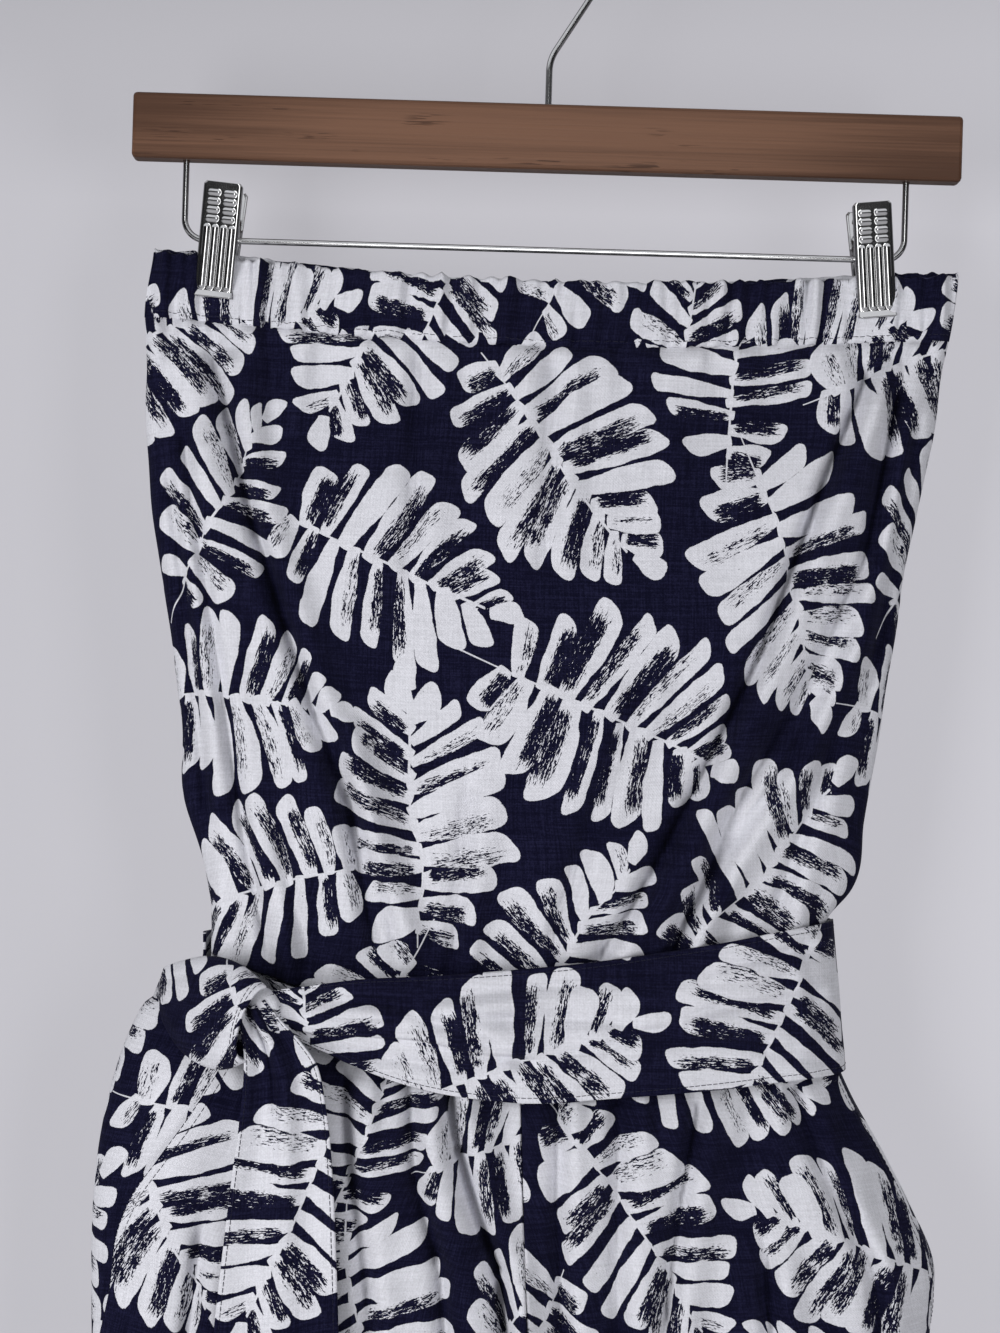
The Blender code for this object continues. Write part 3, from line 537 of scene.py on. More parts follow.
linen_weave, given, result = group(
    "linen_weave",
    [("Cloth", "Vector", None), ("Threads per metre", "Float", 1500.0), ("Slub", "Float", 1.0)],
    [("Shade", "Float"), ("Bare", "Float"), ("Height", "Float")],
)
aside, up, _ = parts_of(linen_weave, given["Cloth"])
count = Reading(linen_weave, given["Threads per metre"])
slub = Reading(linen_weave, given["Slub"])
wefts, warps = aside * count, up * count  # how many threads lie between here and the middle
warp, weft, grain = (
    noise(linen_weave, joined(linen_weave, *place), scale=0.9, detail=1.0)
    for place in ((wefts, warps * SLUB_STRETCH, 0.0), (wefts * SLUB_STRETCH, warps, 7.0), (wefts, warps, 5.0))
)
broad = noise(linen_weave, joined(linen_weave, aside * 60.0, up * 18.0, 3.0), detail=2.0)
over = (wefts * math.pi).math("SINE") * (warps * math.pi).math("SINE")
slubs = warp + weft - 1.0
uneven = slubs * SLUB_SHADE + (broad - 0.5) * BROAD_SHADE + (grain - 0.5) * GRAIN_SHADE
feed(result["Shade"], 1.0 + uneven * slub)
feed(result["Bare"], (warp * 0.35 + weft * 0.35 + grain * 0.3).rise(0.40, 0.68))
feed(result["Height"], over * 0.5 + slubs * 1.1)
print(len(linen_weave.nodes), "nodes weave")


# %% Printed linen, right side and wrong side
PAPER_WHITE, NAVY = (0.62, 0.62, 0.67, 1.0), (0.0036, 0.0036, 0.0135, 1.0)
NAVY_BARE = (0.0105, 0.0105, 0.031, 1.0)
WRONG_WHITE, WRONG_NAVY = (0.42, 0.43, 0.46, 1.0), (0.030, 0.031, 0.060, 1.0)
THREAD_STAND = 0.00012


def printed_linen(name, white, navy):
    """Linen with the leaf print. The wrong side of the cloth takes a paler, greyer print."""
    made, tree, shader = finish(name, Sheen_Weight=0.01, Sheen_Roughness=0.5, Specular_IOR_Level=0.08)
    cloth = tree.nodes.new("ShaderNodeUVMap")
    cloth.uv_map = "cloth"
    paint = use(tree, leaf_print, Cloth=cloth.outputs[0])["Paint"]
    weave = use(tree, linen_weave, Cloth=cloth.outputs[0])
    shaded = tree.nodes.new("ShaderNodeVectorMath")
    shaded.operation = "SCALE"
    dyed = mixed(tree, weave["Bare"], navy, NAVY_BARE)
    feed(shaded.inputs[0], mixed(tree, paint, dyed, white))
    feed(shaded.inputs["Scale"], weave["Shade"])
    feed(shader["Base Color"], shaded.outputs[0])
    feed(shader["Roughness"], 0.90 - paint * 0.08)
    feed(shader["Normal"], relief(tree, weave["Height"], THREAD_STAND, 0.6))
    return made


linen_right = printed_linen("printed_linen", PAPER_WHITE, NAVY)
linen_wrong = printed_linen("printed_linen_wrong_side", WRONG_WHITE, WRONG_NAVY)
print(linen_right.name, "and", linen_wrong.name)


# %% [markdown]
# ## Cutting a sheet of cloth
#
# Linen hangs in folds that start at a seam, a knot or a clip. A cloth simulation would find some, but not
# these ones, and it would move all of them at every change. Here each fold has its own row in a table, so it
# stays where it was put.
#
# Every cloth piece is first a grid of points: rows go down the cut and columns go across it. The grid is
# the middle of the cloth, and the Solidify modifier gives it the thickness of linen, with the wrong side of
# the print inside. The length of each row and column, measured along its folds, gives the place of every
# point on the flat cloth, so a gather really takes in cloth and squeezes the leaves on it, as sewing does.

# %% Curves through tables
def curve_through(places, values, at):
    """A smooth curve through points whose places rise, held flat past its ends. It reads whole arrays."""
    places, values = np.array(places, float), np.array(values, float)
    slopes = np.gradient(values, places)
    at = np.clip(at, places[0], places[-1])
    row = np.clip(np.searchsorted(places, at, side="right") - 1, 0, len(places) - 2)
    span = places[row + 1] - places[row]
    t = (at - places[row]) / span
    start = values[row] * (1 + 2 * t) * (1 - t) ** 2 + slopes[row] * span * t * (1 - t) ** 2
    return start + values[row + 1] * t * t * (3 - 2 * t) + slopes[row + 1] * span * t * t * (t - 1)


def read(table, key, column, at):
    """Reads one column of a table at any value of its key column."""
    rows = sorted(table, key=lambda row: getattr(row, key))
    return curve_through([getattr(row, key) for row in rows], [getattr(row, column) for row in rows], at)


def ease(share):
    """Goes smoothly from 0 to 1, and stays flat outside."""
    share = np.clip(share, 0.0, 1.0)
    return share * share * (3.0 - 2.0 * share)


def between(start, end, share):
    return start + (end - start) * share


def across(share):
    """The share of the width that a share of a half turn round the body reaches."""
    return 0.5 * (1.0 - np.cos(np.pi * share))


def shares(columns, rows):
    """Even shares of the way from 0 to 1, one set across and one down."""
    return np.linspace(0.0, 1.0, columns)[None, :], np.linspace(0.0, 1.0, rows)[:, None]


def crowded(count, crowding=0.45):
    """Shares across that crowd together near both ends, where a sheet goes round the side."""
    t = np.linspace(0.0, 1.0, count)[None, :]
    return t - crowding * np.sin(2 * np.pi * t) / (2 * np.pi)


def hump(away, width, power=2):
    """A soft hump of height 1 over the place where away is 0."""
    return np.exp(-((away / width) ** power))


def grid_of(x, y, z):
    """A grid of points, indexed by row, column and direction."""
    return np.stack(np.broadcast_arrays(x, y, z), axis=2)


# %% Folds
Fold = namedtuple("Fold", "x_top z_top x_end z_end half_width height")
FADING_PART = 0.25
Ridge = namedtuple("Ridge", "aside half_width height")
FURROW, BANK, LOW_BANK = Ridge(0.0, 3.4, -2.8), Ridge(7.5, 7.5, 2.1), Ridge(-10.0, 10.0, 1.2)


def fold_lift(folds, x, z):
    """How far soft straight folds lift the cloth at each place. A fold with a negative height is a furrow."""
    lift = np.zeros(np.broadcast(x, z).shape)
    for fold in folds:
        run = np.array([fold.x_end - fold.x_top, fold.z_end - fold.z_top])
        reach = np.hypot(*run)
        along = ((x - fold.x_top) * run[0] + (z - fold.z_top) * run[1]) / reach**2
        aside = (run[0] * (z - fold.z_top) - run[1] * (x - fold.x_top)) / reach
        fade = ease(along / FADING_PART + 0.5) * ease((1.0 - along) / FADING_PART + 0.5)
        lift += fold.height * fade * hump(aside, fold.half_width)
    return lift


def bent_fold(half_width, height, *corners):
    """One long fold that bends, as straight ones that overlap at their ends. corners are (x, z)."""
    return [Fold(*a, *b, half_width, height) for a, b in zip(corners, corners[1:])]


def crease(depth, *corners):
    """A long narrow furrow that bends, between a full ridge on its right and a lower one on its left."""
    made = []
    for ridge in (FURROW, BANK, LOW_BANK):
        beside = [(x + ridge.aside, z) for x, z in corners]
        made += bent_fold(ridge.half_width, ridge.height * depth, *beside)
    return made


# %% Gathers and unevenness
def gathers(x, below, low, high, spacing, height, fade, seed, spread=0.10):
    """Small folds that start at a seam and fade out below it, like cloth eased onto elastic."""
    draw = np.random.default_rng(seed)
    lift, place = np.zeros(np.broadcast(x, below).shape), low
    while place < high:
        tall, wide = height * draw.uniform(0.35, 1.15), spacing * draw.uniform(0.22, 0.36)
        reach, drift = fade * draw.uniform(0.5, 1.5), draw.uniform(-0.14, 0.14)
        past = np.maximum(below, 0.0)
        width = wide + spread * past
        ridge = hump(x - place - drift * below, width) * hump(past, reach, 1.5)
        lift += tall * ridge * (wide / width) ** 0.4
        place += spacing * draw.uniform(0.65, 1.45)
    return lift


WAVES = 7


def unevenness(x, z, size, seed):
    """A smooth random rise and fall between about -1 and 1, with waves of this size."""
    draw = np.random.default_rng(seed)
    total = np.zeros(np.broadcast(x, z).shape)
    for _ in range(WAVES):
        way, phase, wave = draw.uniform(0, np.pi), draw.uniform(0, 2 * np.pi), size * draw.uniform(0.7, 1.6)
        total += np.sin((x * np.cos(way) + z * np.sin(way)) * 2 * np.pi / wave + phase)
    return total / (0.5 * WAVES)


# %% Where each point lies on the flat cloth
def evened(lengths, reach):
    """Values averaged softly down the rows, so that cloth is taken in evenly over this many of them."""
    weights = np.exp(-0.5 * (np.arange(-2 * reach, 2 * reach + 1) / reach) ** 2)
    padded = np.pad(lengths, ((2 * reach, 2 * reach), (0, 0)), mode="edge")
    rows = np.arange(len(lengths))
    total = sum(weight * padded[rows + k] for k, weight in enumerate(weights))
    return total / weights.sum()


def flat_places(grid):
    """Where each point of a grid lies on the flat cloth, from the middle column and down from the top."""
    rightwards = evened(np.linalg.norm(np.diff(grid, axis=1), axis=2), max(len(grid) // 8, 1))
    downwards = evened(np.linalg.norm(np.diff(grid, axis=0), axis=2).T, max(grid.shape[1] // 8, 1)).T
    run = np.concatenate([np.zeros((len(grid), 1)), np.cumsum(rightwards, axis=1)], axis=1)
    run -= run[:, [grid.shape[1] // 2]]
    drop = np.concatenate([np.zeros((1, grid.shape[1])), np.cumsum(downwards, axis=0)], axis=0)
    top = grid[0, :, 2] - grid[0, :, 2].mean()
    return np.stack([run, top - drop], axis=2)


# %% From a grid of points to a piece of cloth
LINEN, SASH_CLOTH = 0.7, 1.3
Lay = namedtuple("Lay", "across up turn", defaults=(0.0,))


def grid_faces(rows, columns, flip=False):
    """The squares of a grid, each as four point numbers."""
    row, column = np.meshgrid(np.arange(rows - 1), np.arange(columns - 1), indexing="ij")
    corner = (row * columns + column).ravel()
    order = (0, columns, columns + 1, 1) if not flip else (0, 1, columns + 1, columns)
    return np.stack([corner + k for k in order], axis=1)


def area_of(grid):
    """The surface of a grid, in square millimetres."""
    falling, rising = grid[1:, 1:] - grid[:-1, :-1], grid[1:, :-1] - grid[:-1, 1:]
    return 0.5 * np.linalg.norm(np.cross(falling, rising), axis=2).sum()


def thickened(made, thickness, offset):
    """Gives a sheet its thickness in millimetres. offset says where the grid lies in it, from -1 to 1."""
    thick = made.modifiers.new("thickness", "SOLIDIFY")
    thick.thickness, thick.offset = thickness * MM, offset
    return thick


SPARE_REACH = 2.0


def piece_of_cloth(name, grid, outward, lay, node, thickness=LINEN, flat=None):
    """Makes a printed sheet from a grid of points. outward is any vector that leaves its right side."""
    rows, columns = grid.shape[:2]
    middle = grid[rows // 2, columns // 2]
    rightwards = grid[rows // 2, columns // 2 + 1] - middle
    downwards = grid[rows // 2 + 1, columns // 2] - middle
    faces = grid_faces(rows, columns, flip=np.dot(np.cross(downwards, rightwards), outward) < 0)
    made = shown(name, grid, faces.tolist(), linen_right, linen_wrong)
    turn = math.radians(lay.turn)
    flat = (flat_places(grid) if flat is None else flat).reshape(-1, 2)
    flat = flat @ np.array([[math.cos(turn), math.sin(turn)], [-math.sin(turn), math.cos(turn)]])
    flat = flat + (lay.across, lay.up)
    corners = flat[faces.ravel()]
    cloth = made.data.uv_layers.new(name="cloth")
    cloth.data.foreach_set("uv", (corners * MM).astype(np.float32).ravel())
    middles = flat[faces].mean(axis=1)
    radius = np.linalg.norm(flat[faces] - middles[:, None], axis=2).max() + SPARE_REACH
    lay_print(made.data, corners, np.repeat(np.arange(len(faces)), 4), middles, radius)
    thickened(made, thickness, 0.0).material_offset = 1
    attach(made, "root")
    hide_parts(node)
    print(f"{name}: {len(faces)} squares, {area_of(grid) / 1e6:.4f} m2 of cloth")
    return made


# %% [markdown]
# ## Stitches
#
# A seam shows as a row of short stitches that dip into the cloth at both ends. A dashed line painted on the
# cloth would do from afar, but real thread stands up and catches the light. So each stitch here is a bent
# tube of thread, and a whole row of them is one mesh, laid along a line of the grid that it holds together.

# %% Thread
thread_finish, _, shader = finish("navy_thread", roughness=0.7, Sheen_Weight=0.05, Specular_IOR_Level=0.1)
shader["Base Color"].default_value = (0.012, 0.012, 0.026, 1.0)
Sewing = namedtuple("Sewing", "stand stitch gap")
LINEN_SEWING, SASH_SEWING = Sewing(0.5 * LINEN, 2.5, 0.4), Sewing(0.5 * SASH_CLOTH, 2.2, 0.3)
THREAD, THREAD_SIDES = 0.15, 5
STITCH_PLACES = np.array([0.0, 0.14, 0.5, 0.86, 1.0])
STITCH_LIFTS = np.array([-0.25, 0.08, 0.14, 0.08, -0.25])


# %% Along a sheet, and off its surface
def lengths_along(path):
    """How far each point of a path is from its start."""
    return np.concatenate([[0], np.cumsum(np.linalg.norm(np.diff(path, axis=0), axis=1))])


def unit(vectors):
    return vectors / np.maximum(np.linalg.norm(vectors, axis=-1, keepdims=True), 1e-9)


def normals_of(grid, outward):
    """The direction of the right side of the cloth at each point of a grid."""
    normal = unit(np.cross(np.gradient(grid, axis=0), np.gradient(grid, axis=1)))
    return normal * np.sign(np.dot(normal[len(grid) // 2, grid.shape[1] // 2], outward))


def on_grid(values, rows, columns):
    """Values between the points of a grid, at places counted in rows and columns."""
    rows = np.clip(rows, 0, values.shape[0] - 1.001)
    columns = np.clip(columns, 0, values.shape[1] - 1.001)
    i, j = rows.astype(int), columns.astype(int)
    a, b = (rows - i)[:, None], (columns - j)[:, None]
    upper = values[i, j] * (1 - b) + values[i, j + 1] * b
    lower = values[i + 1, j] * (1 - b) + values[i + 1, j + 1] * b
    return upper * (1 - a) + lower * a


# %% Tubes
def rings_round(middle, ways, other_ways, radius, sides):
    """A ring of points round each point of a path, in the plane of two directions."""
    turns = (2 * np.pi * np.arange(sides) / sides)[:, None]
    ring = np.cos(turns) * ways[..., None, :] + np.sin(turns) * other_ways[..., None, :]
    return middle[..., None, :] + radius * ring


def tube_faces(rings, sides, first=0):
    """The squares between rings of points that follow one another."""
    corners = [(k, sides + k, sides + (k + 1) % sides, (k + 1) % sides) for k in range(sides)]
    return [tuple(first + i * sides + k for k in face) for i in range(rings - 1) for face in corners]


# %% Rows of stitches
def stitches(name, grid, outward, lines, sewing=LINEN_SEWING):
    """Rows of stitches on a sheet. Each line is (rows, columns), places on its grid."""
    normals, places, ways = normals_of(grid, outward), [], []
    for rows, columns in lines:
        rows, columns = np.broadcast_arrays(np.asarray(rows, float), np.asarray(columns, float))
        path, facing = on_grid(grid, rows, columns), on_grid(normals, rows, columns)
        run = lengths_along(path)
        starts = np.arange(0.5 * sewing.gap, run[-1] - sewing.stitch, sewing.stitch + sewing.gap)
        at = starts[:, None] + STITCH_PLACES * sewing.stitch
        places.append(np.stack([np.interp(at, run, path[:, k]) for k in range(3)], axis=-1))
        ways.append(np.stack([np.interp(at, run, facing[:, k]) for k in range(3)], axis=-1))
    place, away = np.concatenate(places), np.concatenate(ways)
    aside = np.cross(unit(np.gradient(place, axis=1)), away)
    middle = place + away * (sewing.stand + STITCH_LIFTS)[:, None]
    points = rings_round(middle, aside, away, THREAD, THREAD_SIDES)
    faces, rings = [], len(STITCH_LIFTS)
    for first in range(0, len(points) * rings * THREAD_SIDES, rings * THREAD_SIDES):
        start, end = range(first, first + THREAD_SIDES), first + (rings - 1) * THREAD_SIDES
        ends = [tuple(start), tuple(range(end, end + THREAD_SIDES))[::-1]]
        faces += tube_faces(rings, THREAD_SIDES, first) + ends
    made = shown(name, points, faces, thread_finish)
    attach(made, "root")
    print(f"{name}: {len(points)} stitches")
    return made


# %% [markdown]
# ## The top and its casing
#
# The top is one deep tube of cloth, wider than the body. Its upper edge is folded over an elastic to make
# the casing, and the elastic draws the cloth in, which makes the small folds above and below its line of
# stitches. A lofted tube could be pushed about by hand, but numbers are easier to check against a tape: the
# form is a table of levels, each with how far the tube reaches to both sides, to the front and to the back.
# The folds are added to it as soft ridges.

# %% Levels of the top
SEAM_GAP, ROUNDNESS, THINNEST = 0.3, 0.72, 0.25
FRONT, BACK, LEFT, RIGHT = -1, 1, -1, 1
OUTWARD = {FRONT: (0, -1, 0), BACK: (0, 1, 0)}
Level = namedtuple("Level", "z left right front back")
TOP = (
    Level(-140, -166.0, 178.5, 13.0, 11.0),
    Level(-150, -166.9, 177.9, 13.0, 11.0),
    Level(-178, -170.1, 174.6, 14.0, 12.0),
    Level(-188, -169.4, 172.6, 15.0, 12.0),
    Level(-215, -168.3, 169.6, 18.0, 13.0),
    Level(-250, -165.5, 163.3, 21.0, 14.0),
    Level(-300, -157.2, 155.8, 24.0, 15.0),
    Level(-345, -149.6, 150.0, 26.0, 16.0),
    Level(-385, -146.0, 143.8, 27.0, 17.0),
    Level(-415, -136.5, 139.0, 26.0, 17.0),
    Level(-427, -134.2, 129.3, 24.5, 17.0),
    Level(-445, -133.6, 128.6, 23.0, 17.0),
    Level(-480, -132.0, 128.4, 21.0, 17.0),
)
WAIST_LEFT, WAIST_RIGHT, WAIST_SAG = -450.0, -461.0, 21.5
CASING_TOP, CASING_SAG, CASING_SLACK, CASING_HEIGHT, FULL_BELOW_CASING = -150.3, 8.7, 10.5, 28.0, 75.0
LOOP_DEPTH, LOOP_REACH, NIP_STARTS, NIP_OVER = 3.2, 7.0, 5.0, 14.0
CLIP_GRIP, CLIP_LEFT, CLIP_RIGHT, CLIP_REACH = 1.4, -139.0, 141.0, 9.5


def swag(t, power=1.0):
    """How far cloth that hangs from two ends gives way at a share of the width, from 0 to 1."""
    return np.sin(np.pi * t) ** power


def waist_line(t):
    """Height of the waist seam at a share of the width, from the left."""
    return between(WAIST_LEFT, WAIST_RIGHT, t) - WAIST_SAG * swag(t)


def casing_top(t):
    return CASING_TOP - CASING_SAG * swag(t, 1.3)


def casing_depth(x, left, right):
    """Half the thickness of the casing: a loop at each end, nipped by the clips, slack between them."""
    edge = np.maximum(np.minimum(x - left, right - x), 0.0)
    loop = LOOP_DEPTH * np.sqrt(1.0 - (1.0 - np.minimum(edge / LOOP_REACH, 1.0)) ** 2)
    nip = ease((edge - NIP_STARTS) / NIP_OVER)
    t = np.clip((x - CLIP_LEFT - CLIP_REACH) / (CLIP_RIGHT - CLIP_LEFT - 2 * CLIP_REACH), 0.0, 1.0)
    return between(loop, CLIP_GRIP, nip) + CASING_SLACK * swag(t, 1.3)


# %% Folds of the top
LONG_FOLD = ((-141, -194), (-129, -232), (-120, -265), (-105, -307), (-93, -340), (-76, -384), (-62, -446))
FRONT_FOLDS = (
    crease(3.4, *LONG_FOLD)
    + crease(2.8, (-82, -350), (-70, -394), (-52, -446))
    + crease(2.2, (-151, -228), (-138, -299), (-123, -379), (-108, -448))
    + crease(2.0, (-158, -240), (-148, -300), (-136, -390))
    + crease(1.7, (-52, -184), (-51, -246), (-52, -288))
    + crease(1.7, (8, -186), (6, -245), (5, -284))
    + crease(1.4, (50, -184), (49, -240))
    + crease(3.6, (142, -190), (119, -250), (99, -309), (80, -352), (56, -403), (32, -446))
    + crease(2.8, (153, -200), (140, -274), (113, -334), (89, -376), (66, -432))
    + crease(2.6, (135, -300), (109, -359), (85, -398), (62, -444))
    + crease(1.8, (162, -210), (153, -274), (143, -330))
    + crease(2.0, (46, -330), (30, -378), (12, -440))
    + crease(1.8, (-24, -372), (-30, -450))
    + crease(1.6, (-104, -392), (-92, -452))
    + crease(1.6, (128, -352), (104, -430))
)
BACK_FOLDS = (
    bent_fold(10.0, 3.4, (-120, -205), (-96, -300), (-60, -400), (-44, -450))
    + bent_fold(10.0, 3.2, (112, -200), (92, -300), (52, -392), (34, -445))
    + [
        Fold(-60, -190, -58, -280, 8.0, 1.8),
        Fold(-6, -192, -8, -290, 8.0, 1.6),
        Fold(48, -190, 44, -275, 8.0, 1.7),
        Fold(-10, -360, -4, -456, 12.0, 2.4),
        Fold(96, -380, 80, -446, 9.0, 2.0),
        Fold(-112, -380, -98, -450, 9.0, 2.0),
    ]
)


def torso_plain(side, u, z, foot):
    """Where the cloth lies without its folds: x, and how far out from the middle plane."""
    uneven = 0.7 * ease((foot - z) / 20.0)
    left = read(TOP, "z", "left", z) + uneven * unevenness(0.0, z, 46.0, 3)
    right = read(TOP, "z", "right", z) + uneven * unevenness(0.0, z, 40.0, 4)
    x = between(left, right, across(u))
    full = read(TOP, "z", "front" if side == FRONT else "back", z) * swag(u, ROUNDNESS)
    nipped = casing_depth(x, left, right)
    return x, between(nipped, full, ease((foot - z) / FULL_BELOW_CASING))


def torso_folds(side, u, x, z, foot):
    """How far gathers and folds lift the cloth of the top at each place."""
    folds = FRONT_FOLDS if side == FRONT else BACK_FOLDS
    below = foot - z
    above = z - waist_line(across(u)) - 22.0
    lift = fold_lift(folds, x, z) * ease(below / 12.0)
    lift += gathers(x, below, -165, 175, 17.0, 5.5, 46.0, 11 + side, spread=0.03) * ease(below / 7.0 + 0.15)
    lift += gathers(x, below, -165, 175, 8.0, 2.8, 16.0, 21 + side, spread=0.04) * ease(below / 3.0 + 0.2)
    lift += gathers(x, above, -150, 150, 15.0, 5.0, 34.0, 31 + side, spread=0.04) * ease(below / 60.0)
    lift += 1.8 * unevenness(x, 0.5 * z, 70.0, 51 + side) * ease(below / 40.0)
    return lift * ease(2.2 * swag(u))


# %% Cutting the top
TOP_TUCK, WAIST_GAP = 5.0, 0.5


def top_grid(side, columns, rows):
    """The middle of the cloth of the top's front or back, from inside the casing to the waist seam."""
    u, (_, v) = crowded(columns), shares(columns, rows)
    foot = casing_top(across(u)) - CASING_HEIGHT
    z = between(foot + TOP_TUCK, waist_line(across(u)) + WAIST_GAP, v)
    x, depth = torso_plain(side, u, z, foot)
    depth = depth + torso_folds(side, u, x, z, foot) - LINEN * ease((z - foot + 2.0) / 3.0)
    return grid_of(x, side * (0.5 * SEAM_GAP + np.maximum(depth, THINNEST)), z)


front_top, back_top = top_grid(FRONT, 224, 192), top_grid(BACK, 96, 76)
top_front = piece_of_cloth("top_front", front_top, OUTWARD[FRONT], Lay(316, 204), "bodice_front")
top_back = piece_of_cloth("top_back", back_top, OUTWARD[BACK], Lay(260, 760), "bodice_back")


# %% How far the casing's cloth goes up, over and down
OUTSIDE, TURN, INSIDE = 17, 6, 13
TURN_AT, INSIDE_ENDS, TURN_RISE = 0.06, 0.97, 1.7
OUTER_PART, INNER_PART = np.linspace(1.0, TURN_AT, OUTSIDE), np.linspace(TURN_AT, INSIDE_ENDS, INSIDE)
BAND_DOWN = np.concatenate([OUTER_PART, np.full(TURN, TURN_AT), INNER_PART])[:, None]
BAND_TURN = np.concatenate([np.zeros(OUTSIDE), np.linspace(22, 158, TURN), np.full(INSIDE, 180.0)])
BAND_TURN = np.radians(BAND_TURN)[:, None]
CASING_WIDTH, CASING_TAKEN_IN = 345.0, 1.22


def casing_ridges(x, spacing, seed):
    """The folds that an elastic draws into its casing, which run its whole height."""
    return gathers(x, 0.0 * x, -172, 180, spacing, 1.0, 30.0, seed, spread=0.0) - 0.4


def casing_grid(side, columns, fullness, peek):
    """A band that goes up outside the elastic, over the top and down inside it."""
    u, v, outer = crowded(columns, 0.3), BAND_DOWN, (np.cos(BAND_TURN) > 0) * 1.0
    top = casing_top(across(u)) + peek
    foot = top - CASING_HEIGHT - peek
    height = between(top, foot, v)
    x, depth = torso_plain(side, u, height, foot)
    ridge, pucker = casing_ridges(x, 8.0, 71 + side), casing_ridges(x, 5.0, 76 + side)
    drift = casing_ridges(x + 2.0 * v, 12.0, 81 + side)
    loose = ease(np.minimum(u, 1 - u) * CASING_WIDTH / 10.0)
    grip = hump(x - CLIP_LEFT, 10.0, 4) + hump(x - CLIP_RIGHT, 10.0, 4)
    free = loose * (1.0 - 0.85 * np.minimum(grip, 1.0)) * (0.3 + 0.7 * outer)
    lift = 3.6 * ridge * (1.15 - v) + 4.2 * drift * (0.5 + 0.5 * v)
    lift = free * (lift + 2.0 * pucker * (0.35 + 0.65 * ease((v - 0.4) * 2.0)))
    swell = fullness * loose * swag(v, 0.5)
    half = 0.75 + (0.25 + 0.5 * swell) * loose + 0.5 * swell
    sewn_down = 0.9 * ease((v - 0.84) / 0.08) * outer * loose
    depth = depth + half * np.cos(BAND_TURN) + lift - sewn_down
    scallop = loose * (1.0 * ridge + 0.5 * pucker) * (1.0 - ease(v * 3.0))
    z = height + TURN_RISE * np.sin(BAND_TURN) * (v < TURN_AT + 0.01) + scallop
    z = z + loose * 0.5 * (drift + pucker) * ease((v - 0.6) * 2.5) * outer
    return grid_of(x, side * (0.5 * SEAM_GAP + np.maximum(depth, THINNEST)), z)


def casing_places(grid):
    """Where the band lies on the flat cloth: it carries on upwards from the top, and more is drawn in."""
    run, drop = np.moveaxis(flat_places(grid), 2, 0)
    run = CASING_TAKEN_IN * run[:OUTSIDE].mean(axis=0) + 0.0 * run
    return np.stack([run, 2 * drop[:1] - drop], axis=2)


# %% Folding the casing over its elastic, and the line of stitches that holds it
SEWN_ROW = 1.7


def casing(word, side, grid, lay):
    flat = casing_places(grid)
    return piece_of_cloth(f"band_{word}", grid, OUTWARD[side], lay, f"casing_{word}", flat=flat)


def casing_stitches(word, side, grid, count):
    line = (SEWN_ROW, np.linspace(2, grid.shape[1] - 3, count))
    return stitches(f"casing_stitches_{word}", grid, OUTWARD[side], [line])


front_band, back_band = casing_grid(FRONT, 400, 0.9, 0.0), casing_grid(BACK, 200, 0.7, 1.8)
casing_front = casing("front", FRONT, front_band, Lay(316, 199))
casing_back = casing("back", BACK, back_band, Lay(260, 755))
front_stitches = casing_stitches("front", FRONT, front_band, 600)
back_stitches = casing_stitches("back", BACK, back_band, 320)


# %% [markdown]
# ## The shorts
#
# Each leg is a front and a back panel, with a slant pocket in the side of the front. The front panel starts
# at the pocket's slanting edge, and the facing behind it carries on to the side seam. One tube with a cut in
# it could pass for a leg, but its print would run on across the seams. So every panel is cut on its own from
# one form, which is read from a table of levels like that of the top.

# %% Levels of the shorts
ShortsLevel = namedtuple("ShortsLevel", "z left middle right front back")
SHORTS = (
    ShortsLevel(-440, -146.0, -1.4, 131.2, 26.0, 18.0),
    ShortsLevel(-470, -160.8, -1.0, 132.6, 30.0, 20.0),
    ShortsLevel(-488, -168.8, -0.4, 135.6, 33.5, 23.0),
    ShortsLevel(-500, -172.6, 0.4, 141.0, 36.0, 24.0),
    ShortsLevel(-527, -178.2, 1.8, 157.0, 40.0, 26.0),
    ShortsLevel(-550, -180.4, 3.0, 169.5, 43.0, 28.0),
    ShortsLevel(-572, -180.8, 4.2, 179.4, 45.0, 29.0),
    ShortsLevel(-600, -180.0, 6.0, 178.4, 47.0, 30.0),
    ShortsLevel(-660, -177.5, 6.0, 176.0, 48.0, 30.0),
    ShortsLevel(-745, -177.0, 5.0, 177.0, 46.0, 30.0),
    ShortsLevel(-840, -181.0, 4.0, 181.0, 44.0, 30.0),
)
PocketStation = namedtuple("PocketStation", "down left right")
POCKET = (
    PocketStation(0.00, 26.0, 2.0),
    PocketStation(0.05, 46.0, 2.0),
    PocketStation(0.10, 44.0, 2.0),
    PocketStation(0.15, 38.0, 2.0),
    PocketStation(0.20, 29.0, 2.0),
    PocketStation(0.25, 19.0, 3.0),
    PocketStation(0.30, 13.0, 3.0),
    PocketStation(0.36, 13.0, 0.0),
)
PUFF_DROP, FULL_BELOW_WAIST, CROTCH, HEM = 24.0, 45.0, -745.0, -840.0
RISE_TURNS = {FRONT: -655.0, BACK: -610.0}
LEG_CLEARANCE, POCKET_END, POCKET_CLOSES_OVER = 1.7, 0.5, 0.2

